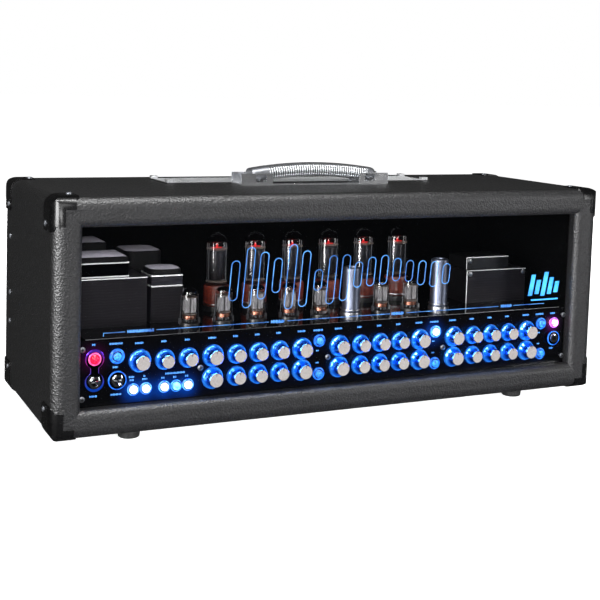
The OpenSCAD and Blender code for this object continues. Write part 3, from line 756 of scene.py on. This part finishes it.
marks = [label(x, 107.6, 11 if base > 13 else 8) for _, x, z, (base, _) in knobs if z > 70]
marks += [label(*place) for place in (
    (-339.8, 109.4, 5), (-312.4, 109.0, 17), (-312.4, 80.2, 8), (-339.8, 46.6, 10), (-311.6, 46.6, 14),
    (-292.0, 66.4, 8), (-292.0, 62.6, 6), (-275.6, 66.4, 4), (-275.6, 62.6, 7), (-236.7, 67.0, 26),
    (-252.1, 62.0, 5), (-236.7, 62.0, 5), (-221.3, 62.0, 5), (338.2, 107.4, 9), (338.2, 56.4, 8))]
for amp in range(3):
    marks += [label(-40.6 + amp * PITCH, *rest) for rest in ((107.4, 14), (80.4, 5, 1.8), (64.4, 5, 1.8))]
rules = [dash(*ends) for ends in ((-329, -302), (-262, -112), (-86, 66), (92, 242), (268, 321))]
rules.append(blocks((-329, INK_D, 118.4, -328.4, INK_D + 0.5, 122.6)))
titles = [label(-282, 122.6, 34, 3.6)] + [label(-99 + PITCH * k, 122.6, 20, 4.0) for k in range(3)]
piece("panel_labels", [(label_ink, moved(joined(marks), upright)),
                       (blue_ink, moved(joined(rules + titles), upright))], doubles=False)

# %% [markdown]
# The engraving across the clear front is a row of outlined bars, like the picture of a sound: each
# outline is a straight-sided loop with round ends, cut into the back of the sheet and lit from its
# edge. Beside it stands an inlay of five leaning bars over a short line.

# %% Engraving
def stadium(x, z, half_w, half_h, lean):
    """A loop of two half circles joined by straight sides, leaning like italic writing."""
    a = np.linspace(0, 2 * np.pi, 40, endpoint=False)
    px, pz = half_w * np.cos(a), half_w * np.sin(a)
    pz = pz + np.sign(np.sin(a) + 1e-9) * (half_h - half_w)
    return np.stack([x + px + lean * pz, np.full(40, 18.6), z + pz], 1)


bars = 17
k = np.arange(bars)
tall = 13 + 30 * np.abs(np.sin(0.95 * k + 0.6)) * (0.55 + 0.45 * np.cos(0.33 * k - 1.2))
mid = 178 + 5 * np.sin(0.7 * k)
loops = [tube(stadium(-161 + 19.6 * n, mid[n], 5.6, tall[n], 0.08), 0.5, 6, closed=True) for n in range(bars)]
piece("engraved_sound_bars", [(blue_ink, moved(joined(loops), upright))])
badge_ink = lit("solid blue inlay", "#0c74cc", "#2a98e4", 0.75, 0.4, 60.0)
badge = []
for n, (half, lift) in enumerate(((15, 150), (10, 147), (17, 151), (12, 148), (8, 146))):
    p, faces = blocks((294 + 11 * n, 18.2, lift - half, 301 + 11 * n, 18.8, lift + half))
    p[:, 0] += 0.18 * (p[:, 2] - 146)
    badge.append((p, faces))
badge.append(blocks((298, 18.2, 127.5, 345, 18.8, 129.5)))
piece("blue_inlay", [(badge_ink, moved(joined(badge), upright))])

# %% [markdown]
# ## Behind the clear front
# A power valve is a blown glass bulb on a brown moulded base. Inside stands a grey nickel anode
# between two mica discs, the heater glows red at its top, and the silver-black getter coats the dome.
# The small valves have two bright anodes side by side, and spring wires hold them in their sockets.

# %% Valve materials
# blown soda glass, drawn as a clear film that keeps its full reflection
glass = surface("blown valve glass", {"Base Color": lin("#0c0c0d"), "IOR": 2.8, "Alpha": 0.2}, 60.0, 1.0,
                rough=(0.02, 0.06), dent=(0.4, 0.15))
# moulded phenolic: red-brown with darker swirls
bakelite = surface("brown bakelite", {"Roughness": 0.3, "IOR": 1.6}, 160.0, 3.0, distortion=1.5,
                   tones=((0.3, "#3a1410"), (0.7, "#6e2a1c")))
anode = metal("grey nickel anode", ("#3e3d40", "#6a686c"), 0.38, 600.0, (1, 1, 0.2))
bright_anode = metal("bright nickel anode", ("#8e8c90", "#d2d0d2"), 0.3, 600.0, (1, 1, 0.2), metallic=0.6)
getter = metal("getter mirror", ("#2a292b", "#5c5a5e"), 0.12, 200.0)
copper = metal("heater copper", ("#8a5646", "#c88a72"), 0.35, 500.0)
mica = material("mica disc", {"Base Color": lin("#7a6c64"), "Roughness": 0.35})[0]
heater = lit("glowing heater", "#8a000c", "#ff1c18", 1.1, 0.4, 900.0)

# %% [markdown]
# The bulb, the base and the getter's dome are turned. The anode is turned as well and then squeezed
# to an oval, with a fin at each side, and four rods carry the mica discs. Six valves stand in a row.

# %% Power valves
def disc(r, z, n):
    """A mica disc, 0.6 mm thick."""
    return turned([[0, z], [r, z], [r, z + 0.6], [0, z + 0.6]], n)


def power_valve():
    """Bulb, base and inner parts of one power valve, standing on z = 0."""
    bulb = [[16.3, 34.6], [16.2, 36], [16.2, 91], [15.7, 95], [14.4, 99], [12.2, 102.3], [9, 104.8],
            [5.4, 106.2], [3.2, 106.8], [2.2, 107.6], [1, 107.95], [0, 108]]
    base = [[0, 7], [16.5, 7], [17.3, 7.6], [17.5, 9], [17.5, 31.6], [17.2, 33.4], [16.6, 34.6], [0, 34.6]]
    oval = turned([[0, 42], [11, 42], [11.4, 42.6], [11.4, 81.4], [11, 82], [0, 82]], 28)
    oval = (oval[0] * [1.0, 0.72, 1.0], oval[1])
    rods = joined([tube([[x, y, 38], [x, y, 60], [x, y, 92]], 0.7, 8) for x in (-12.6, 12.6) for y in (-3, 3)])
    dome = [[0, 105.6], [5.2, 105.4], [8.8, 104], [11.9, 101.6], [14, 98.5], [14.9, 95.4], [14, 95],
            [0, 95.2]]
    hot = joined([turned([[0, 85.2], [1.5, 85.2], [1.5, 89], [0.9, 90.4], [0, 90.8]], 12),
                  blocks((-6.5, -0.9, 85.2, -2.5, 0.9, 86.4), (2.5, -0.9, 85.2, 7.0, 0.9, 86.2))])
    return [(phenolic, ring(5.0, 19.0, 7.0, 1.2, 0.0, 36)), (bakelite, turned(base, 40)),
            (brushed, ring(17.4, 17.9, 1.6, 0.3, 8.6, 40)), (glass, turned(bulb, 40)),
            (anode, joined([oval, blocks((-14.0, -0.6, 46, -11.2, 0.6, 78), (11.2, -0.6, 46, 14.0, 0.6, 78))])),
            (mica, joined(disc(14.6, z, 28) for z in (39.6, 84.4))),
            (zinc, rods), (getter, turned(dome, 32)), (heater, hot)]


standing = [(m, moved(s, upright, x=-134 + 57 * k, d=148, z=DECK)) for k in range(6) for m, s in power_valve()]
piece("power_valves", standing, replaces=("valves",))

# %% [markdown]
# Two bright box anodes stand side by side in each small valve, on nine pins, with a copper ring
# round the foot of the works. A spring wire at each side leans in over the glass to hold it.

# %% Small valves and their wires
FRONT_ROW = dict(d=62, z=DECK)    # nine sockets in a row, each 46.8 mm from the next


def small_valve():
    """One small valve in its retaining wire."""
    bulb = [[0, 5.2], [9.6, 5.2], [10.6, 6.4], [10.8, 9], [10.8, 41], [10.4, 43.6], [9.2, 46.4], [6.8, 48.5],
            [4.2, 49.4], [2.6, 50.3], [1.8, 51.6], [0, 52.4]]
    plates = blocks((-7.6, -3.4, 17, -1.0, 3.4, 36), (1.0, -3.4, 17, 7.6, 3.4, 36))
    fins = blocks((-9.2, -0.5, 20, -7.6, 0.5, 33), (7.6, -0.5, 20, 9.2, 0.5, 33),
                  (-5.0, -4.4, 18, -3.6, -3.4, 35), (3.6, -4.4, 18, 5.0, -3.4, 35))
    a = np.linspace(0, 2 * np.pi, 9, endpoint=False)
    pins = joined([tube([[7 * c, 7 * s, 5.4], [7 * c, 7 * s, 9], [6 * c, 6 * s, 15.5]], 0.55, 6)
                   for c, s in zip(np.cos(a), np.sin(a))])
    dome = [[0, 48.6], [4, 48.4], [6.4, 47.5], [8.6, 45.6], [9.6, 43.4], [8.6, 42.6], [0, 42.8]]
    t = np.linspace(0, 1, 13)
    leg = np.stack([13.6 - 2.3 * np.sin(1.6 * t) ** 0.5, 0 * t, 4 + 36 * t], 1)
    wires = joined([tube(leg * [s, 1, 1], 0.5, 6) for s in (-1, 1)])
    foot = blocks((11.4, -2.0, 3, 14.0, 2.0, 10), (-14.0, -2.0, 3, -11.4, 2.0, 10))
    return [(phenolic, ring(4.0, 13.0, 5.0, 0.8, 0.0, 28)), (glass, turned(bulb, 32)),
            (bright_anode, joined([plates, fins])), (zinc, pins), (brushed, joined([wires, foot])),
            (mica, joined(disc(9.6, z, 24) for z in (15.4, 37.0))), (copper, ring(4.6, 8.6, 4.6, 0.6, 9.4, 20)),
            (getter, turned(dome, 28))]


row = [(m, moved(s, upright, x=-204 + 46.8 * k, **FRONT_ROW)) for k in (0, 1, 2, 3, 4, 6, 7)
       for m, s in small_valve()]
piece("small_valves", row)

# %% [markdown]
# Two of the small valves are hidden in shield cans, which keep hum out: thin drawn aluminium with an
# open top and a flange at the foot.

# %% Shield cans
can_metal = metal("drawn aluminium can", ("#6f7588", "#8f96aa"), 0.4, 500.0, (1, 1, 0.1))


def shield_can(h):
    """A pressed aluminium can over a small valve: a flange with a bayonet rib, and an open top with a black
    disc a little way inside it, painted shade.
    """
    wall = [[13, 5.4], [13.4, 6.4], [13.4, 8], [12.6, 9.2], [12.2, 10.4], [12.2, h - 4.5], [11.9, h - 2.6],
            [11.0, h - 1.3], [9.4, h - 0.8], [6.6, h - 0.8], [6.2, h - 1.4], [6.2, h - 9], [11.0, h - 12],
            [11, 5.4], [13, 5.4]]
    # the black disc inside the open top is painted shade
    return [(can_metal, turned(wall, 48)), (brushed, ring(4.0, 14.5, 5.0, 0.8, 0.0, 40)),
            (brushed, ring(13.2, 14.4, 1.2, 0.3, 8.2, 40)),
            (black_fill_and_shade, turned([[0, h - 6.5], [6.3, h - 6.5]], 24))]


cans = [(m, moved(s, upright, x=-204 + 46.8 * k, **FRONT_ROW)) for k, h in ((5, 67), (8, 73))
        for m, s in shield_can(h)]
piece("shield_cans", cans)

# %% [markdown]
# ### Transformers
# A transformer is a stack of thin varnished steel sheets round a coil. The sheet edges show as fine
# level lines on the block, and a black or tinned band wraps the coil. Pressed covers painted in
# crackle black close the coils, and their tops are drawn light grey: painted light on the upward faces.

# %% Transformer materials
def laminated_steel():
    """Edges of stacked sheets: 0.5 mm sheets drawn every 1.8 mm so that they show, over long streaks."""
    made, tree, shader = material("varnished laminated steel", {"Metallic": 0.55, "IOR": 1.6})
    where = object_coordinates(tree)
    sheets = add(tree, "TexWave", {"bands_direction": "Z", "Scale": 88.0, "Distortion": 3.5, "Detail": 3.0},
                 {"Vector": where})
    drawn = add(tree, "TexNoise", {"Scale": 120.0, "Detail": 4.0},
                {"Vector": object_coordinates(tree, (0.08, 1, 1))})
    mixed = add(tree, "Math", {"operation": "MULTIPLY"}, {0: sheets.outputs["Fac"], 1: drawn.outputs["Fac"]})
    tone = ramp(tree, mixed.outputs[0], [(0.05, "#19171b"), (0.6, "#252327")])
    tree.links.new(tone.outputs[0], shader.inputs["Base Color"])
    shader.inputs["Roughness"].default_value = 0.42
    bump(tree, shader, mixed.outputs[0], 0.04, 0.1)
    return made


laminate = laminated_steel()
# bright steel for the grille's wire and clips, also used for painted highlights on the transformers' edges
bright_wire_and_highlights = metal("bright steel wire and painted highlights", ("#d8dadc", "#f4f5f6"), 0.3, 500.0, metallic=0.3)
# painted light: the covers' tops are light grey, lighter than their black walls, for the light that falls on
# them
lid_top_painted_light = metal("grey lid top with painted light", ("#8a8792", "#a5a2ad"), 0.5, 300.0, metallic=0.0)
screen = metal("tinned screening band", ("#77747e", "#b0aebc"), 0.3, 500.0, (0.1, 1, 1))
cover_black = material("crackle black cover paint", {"Base Color": lin("#050506"), "Roughness": 0.6,
                                                     "Specular IOR Level": 0.25})[0]

# %% [markdown]
# Each block, coil and cover is given by the middle of its front edge and its size. A pressed cover is
# a pile of rounded rectangles: the last few are drawn in along a quarter circle, so its upper edge is
# soft. Thin bright lines along the front edges of the blocks are painted highlights, and bolts clamp the
# blocks.

# %% Transformers
def cover(x, d, z, sx, sd, sz, corner=5.0, edge=2.0):
    """A pressed cover: rounded rectangles stacked up, the last ones drawn in along a quarter circle.
    Returns its wall and its flat top."""
    a = np.linspace(0, 2 * np.pi, 48, endpoint=False) + 1e-3
    turn = np.linspace(0, np.pi / 2, 4)
    inset = np.concatenate([[0.0], edge * (1 - np.cos(turn))])
    height = np.concatenate([[z], z + sz - edge + edge * np.sin(turn)])

    def outline(t):
        """Corner arcs whose centres sit `corner` inside the box."""
        c, s = np.cos(a), np.sin(a)
        px = np.sign(c) * (sx / 2 - corner) + (corner - t) * c
        py = np.sign(s) * (sd / 2 - corner) + (corner - t) * s
        return px, py
    rows = []
    for t, h in zip(inset, height):
        px, py = outline(t)
        rows.append(np.stack([x + px, d + sd / 2 + py, np.full(48, h)], 1))
    top = np.stack([rows[-1], rows[-1] * [0, 0, 1] + np.array([x, d + sd / 2, 0.0])])
    return grid(np.stack(rows), close_v=True), grid(top, close_v=True)


def closed_box(x, d, z, sx, sd, sz):
    """A plain box."""
    return blocks((x - sx / 2, d, z, x + sx / 2, d + sd, z + sz))


def bands(x, d, z, sx, sd, sz, lip=1.9):
    """Two bright lips round a coil, at its foot and its top, standing 0.4 mm proud: the band's edges, made
    bright as painted highlights.
    """
    return joined(closed_box(x, d - 0.4, h, sx + 0.8, sd + 0.8, lip) for h in (z + 0.3, z + sz - lip - 0.3))


iron = [(laminate, closed_box(*place)) for place in
        ((-300, 80, DECK, 90, 64, 62), (-225, 88, DECK, 44, 46, 46), (284, 84, DECK, 104, 62, 48))]
for made, place in ((black_chrome, (-312, 86, 177, 68, 52, 20)), (screen, (-225, 90, 161, 42, 42, 16))):
    iron += [(made, closed_box(*place)), (bright_wire_and_highlights, bands(*place))]
# painted highlights: thin bright bars where the blocks' front edges catch the light
edge_highlight_strips = blocks((-345.3, 79.7, 176.0, -254.7, 80.4, 177.3), (231.6, 83.7, 115, 233.0, 84.6, 163),
                (231.6, 83.7, 162.2, 336.4, 84.6, 163.2), (235.8, 91.7, 180.2, 310.2, 92.5, 181.2),
                (235.8, 91.7, 163.2, 236.8, 92.5, 181))
iron += [(phenolic, closed_box(273, 92, 163, 74, 46, 18)), (bright_wire_and_highlights, edge_highlight_strips)]
piece("transformer_irons", [(m, moved(s, upright)) for m, s in iron], replaces=("transformers",),
      bevel=0.5)
lids = []
for place, corner in (((-312, 82, 197, 66, 60, 7), 5), ((-318, 150, DECK, 60, 62, 98), 5),
                      ((-236, 150, DECK, 52, 60, 84), 14), ((-225, 89, 177, 44, 44, 7), 14)):
    wall, top = cover(*place, corner)
    lids += [(cover_black, moved(wall, upright)), (lid_top_painted_light, moved(top, upright))]
piece("transformer_covers", lids)
bolts = [moved(hexagon(0.01, 3.6, 2.4, 0.0), on_front, x=x, z=z, d=d)
         for x, z, d in ((237, 158, 84), (331, 158, 84), (241, 176, 92))]
piece("transformer_bolts", [(satin, joined(bolts))])

# %% [markdown]
# ## The handle and the air outlets
# The grip is a close-wound spring pulled over a dark strap: one long wire runs round the strap like a
# screw thread, so the ribs lean. Both follow the same bow, the arc of a large circle. Smooth sleeves
# close both ends, and cross pins hang the grip in the slots of its brackets.

# %% Grip
BOW = (95.0 ** 2 + 8.0 ** 2) / 16.0    # radius of an arc 190 mm long across that rises 8 mm
MIDDLE_Z, GRIP_D = 308.5, 135.0
WIRE_PITCH = 3.5


def bowed(s, around, thick, wide, power=2.35):
    """A tube along a circular arc: s is the length along it from the middle, `around` the angle
    round it. The section is a superellipse, |x/a| and |z/b| to a power adding up to 1."""
    c, n = np.cos(around), np.sin(around)
    w = wide * np.sign(c) * np.abs(c) ** (2 / power)
    h = BOW + thick * np.sign(n) * np.abs(n) ** (2 / power)
    turn = s / BOW
    return np.stack([h * np.sin(turn), np.broadcast_to(w, h.shape), MIDDLE_Z - BOW + h * np.cos(turn)], -1)


def coil():
    """Round wire wound round the strap, as one long tube, and the dark strap inside it. Along the
    wire, the place on the grip and the angle round it grow together."""
    turns = np.linspace(-72 / WIRE_PITCH, 84 / WIRE_PITCH, 1080)
    wire = tube(bowed(WIRE_PITCH * turns, 2 * np.pi * turns, 8.65, 12.65), 1.25, 8, (1, 0, 0))
    s, a = np.meshgrid(np.linspace(-73, 85, 60), np.linspace(0, 2 * np.pi, 36, endpoint=False), indexing="ij")
    return wire, grid(bowed(s, a, 8.3, 12.3), close_v=True)


def sleeve(side):
    """A smooth sleeve from the coil to the grip's end, its last millimetres drawn in."""
    start = 69.0 if side < 0 else 81.0
    t = np.array([start, start, start + 0.5, start + 1.5, start + 4.0, 90.0, 92.5, 94.0, 94.8, 95.0, 95.0])
    k = np.array([0.0, 0.90, 0.985, 1.0, 1.0, 1.0, 0.99, 0.95, 0.86, 0.72, 0.0])
    s, a = np.meshgrid(side * t, np.linspace(0, 2 * np.pi, 36, endpoint=False), indexing="ij")
    return grid(bowed(s, a, 9.95 * k[:, None], 13.95 * k[:, None]), close_v=True)


spring = metal("wound spring steel", ("#a0a2a6", "#c8cacd"), 0.3, 300.0, metallic=0.75)
sleeve_grey = metal("grey moulded sleeve", ("#6e7074", "#8c8e92"), 0.42, 400.0, metallic=0.7)
pin = turned([[0, -19], [2.4, -19], [2.4, 19], [0, 19]], 20)
pins = joined([moved(pin, on_front, x=side * 84, z=295, d=GRIP_D) for side in (-1, 1)])
wire, strap = coil()
grip = [(m, moved(s, upright, d=GRIP_D)) for m, s in
        ((spring, wire), (rubber, strap), (sleeve_grey, joined([sleeve(-1), sleeve(1)])))] + [(chrome, pins)]
piece("spring_grip", grip, body="handle_grip", replaces=("handle_grip",), sharp=50)

# %% [markdown]
# The air outlet on top is woven steel wire. Each wire rises over one neighbour and dips under the
# next: its height follows a cosine of the distance along it, and crossing wires take turns.

# %% Woven top grille
def woven(x0, x1, d0, d1, z, pitch=4.4, lift=0.5, wire=0.5):
    """Two sets of wires, each weaving over and under the other."""
    xs, ds = np.arange(x0 + pitch / 2, x1, pitch), np.arange(d0 + pitch / 2, d1, pitch)
    along_x, along_d = np.arange(x0, x1, pitch / 2), np.arange(d0, d1, pitch / 2)
    level = [tube(np.stack([along_x, np.full(len(along_x), d),
                            z + lift * np.cos(np.pi * ((along_x - xs[0]) / pitch + n))], 1), wire, 5)
             for n, d in enumerate(ds)]
    cross = [tube(np.stack([np.full(len(along_d), x), along_d,
                            z - lift * np.cos(np.pi * ((along_d - ds[0]) / pitch + n))], 1), wire, 5, (1, 0, 0))
             for n, x in enumerate(xs)]
    return joined(level + cross)


weave = woven(-203, 203, 158, 230, 289.1)
piece("woven_grille", [(bright_wire_and_highlights, moved(weave, upright))], replaces=("vent_grilles",),
      doubles=False)

# %% [markdown]
# A black frame and four clips hold the woven wire. The back is closed by a steel plate with forty
# upright slots, drawn as bars between two rails. A matt black sheet behind them is painted shade: it
# keeps the inside of the box as dark as its shadow.

# %% Frames and the rear grille
edges = blocks(*[(x0, d0, 288, x1, d1, 289.4) for x0, d0, x1, d1 in
                 ((-205, 156, 205, 158), (-205, 230, 205, 232), (-205, 156, -203, 232), (203, 156, 205, 232))])
clips = blocks(*[(x - 4.5, d - 4.5, 288, x + 4.5, d + 4.5, 293.5) for x in (-200, 200) for d in (161, 227)])
bars_x = np.linspace(-375.5, 375.5, 41)
rear_bars = blocks(*[(x - 3.6, 260.6, 131, x + 3.6, 261.9, 256) for x in bars_x])
# painted shade: a matt black sheet across the back, so no light shows through the slots into the box
shade_sheet_box = blocks((-376.5, 259.2, 115.1, 376.5, 260.0, 269.6))
rails = blocks((-376, 260.5, 118, 376, 262, 132), (-376, 260.5, 255, 376, 262, 269))
black_steel = surface("black powder-coated steel", {"Base Color": lin("#1d1d1f"), "Roughness": 0.5},
                      900.0, dent=(0.06, 0.4))
shade_sheet_black = material("matt black sheet for painted shade", {"Base Color": lin("#020202"), "Roughness": 0.95,
                                                 "Specular IOR Level": 0.05})[0]
piece("grille_frames", [(black_steel, moved(edges, upright)), (bright_wire_and_highlights, moved(clips, upright)),
                        (black_steel, moved(joined([rear_bars, rails]), upright)),
                        (shade_sheet_black, moved(shade_sheet_box, upright))], bevel=0.3)

# %% [markdown]
# ## Light, floor and the end
# Black vinyl and chrome need something to mirror. A long strip over the lid and a tall one at the
# left only draw highlights, because they skip diffuse surfaces. A soft lamp in front, a small one for
# the valves and a strip at the right light everything. The fill from behind, the bounce off the floor
# and a faint lamp under the lid skip glossy surfaces, so they lift the darks without a mirror image.
# The floor is pale and carries a little light of its own, more of it further away, so that it stays
# even up to the horizon. The eye sees a white room, while surfaces mirror a dim grey one.

# %% Studio
def softbox(name, place, target, size, watts, diffuse=True, glossy=True):
    """A rectangular lamp at a place, facing a target. One that skips diffuse surfaces only draws
    highlights; one that skips glossy surfaces only fills."""
    lamp = bpy.data.lights.new(name, "AREA")
    lamp.shape, (lamp.size, lamp.size_y) = "RECTANGLE", size
    lamp.energy = watts
    obj = bpy.data.objects.new(name, lamp)
    obj.visible_diffuse, obj.visible_glossy, obj.visible_camera = diffuse, glossy, False
    back = np.array(place, float) - np.array(target, float)
    back /= np.linalg.norm(back)
    side = np.cross([0.0, 0.0, 1.0], back)
    side /= np.linalg.norm(side)
    turn = Matrix.Identity(4)
    for column, axis in enumerate((side, np.cross(back, side), back)):
        turn.col[column].xyz = axis
    turn.translation = place
    obj.matrix_world = turn
    bpy.context.scene.collection.objects.link(obj)
    return obj


# name, place, target, size in metres, watts
softbox("front_soft", (-0.9, -2.4, 1.5), (0, 0, 0.15), (1.6, 1.2), 25)
softbox("valve_light", (-1.0, -2.1, 0.5), (0, 0, 0.2), (0.45, 0.4), 15)
softbox("lid_strip", (-0.45, -0.5, 1.8), (-0.45, -0.1, 0.3), (2.1, 0.3), 74, diffuse=False)
softbox("left_strip", (-1.9, -0.95, 0.62), (-0.39, -0.1, 0.25), (0.8, 1.3), 105, diffuse=False)
softbox("right_strip", (1.5, -1.5, 0.7), (0.3, 0, 0.2), (0.3, 1.2), 12)
softbox("back_fill", (0.8, 2.4, 0.7), (0, 0, 0.15), (1.8, 1.0), 90, glossy=False)
softbox("floor_bounce", (0.1, -0.75, 0.03), (0.1, -0.14, 0.07), (1.6, 0.3), 22, glossy=False)
softbox("under_lid", (-0.12, -0.085, 0.278), (-0.12, 0.03, 0.15), (0.5, 0.04), 0.55, glossy=False)

# %% [markdown]
# The floor's light and the room's brightness both depend on who looks: a Light Path node tells rays
# from the camera apart from rays that surfaces send out.

# %% Floor and room
floor_mesh = bpy.data.meshes.new("floor")
floor_mesh.from_pydata([(-30, -30, 0), (30, -30, 0), (30, 30, 0), (-30, 30, 0)], [], [(0, 1, 2, 3)])
floor = bpy.data.objects.new("floor", floor_mesh)
bpy.context.scene.collection.objects.link(floor)
pale, tree, shader = material("pale studio floor", {"Base Color": lin("#f2f2f2"), "Roughness": 0.9,
                                                    "Emission Color": WHITE})
seen = add(tree, "LightPath")
away = add(tree, "VectorMath", {"operation": "LENGTH"}, {0: object_coordinates(tree)})
even = add(tree, "MapRange", {"From Min": 0.8, "From Max": 2.2, "To Min": 0.86, "To Max": 1.05},
           {"Value": away.outputs["Value"]})
level = add(tree, "Mix", {"data_type": "FLOAT", 2: 0.15},
            {0: seen.outputs["Is Camera Ray"], 3: even.outputs[0]})
tree.links.new(level.outputs[0], shader.inputs["Emission Strength"])
floor_mesh.materials.append(pale)
floor.visible_glossy = False

world = bpy.data.worlds.new("white room")
bpy.context.scene.world = world
world.use_nodes = True
tree = world.node_tree
seen = add(tree, "LightPath")
room = tree.nodes["Background"]
room.inputs["Color"].default_value = WHITE
level = add(tree, "MapRange", {"To Min": 0.032, "To Max": 1.0}, {"Value": seen.outputs["Is Camera Ray"]})
tree.links.new(level.outputs[0], room.inputs["Strength"])
bpy.context.scene.view_settings.view_transform = "Standard"
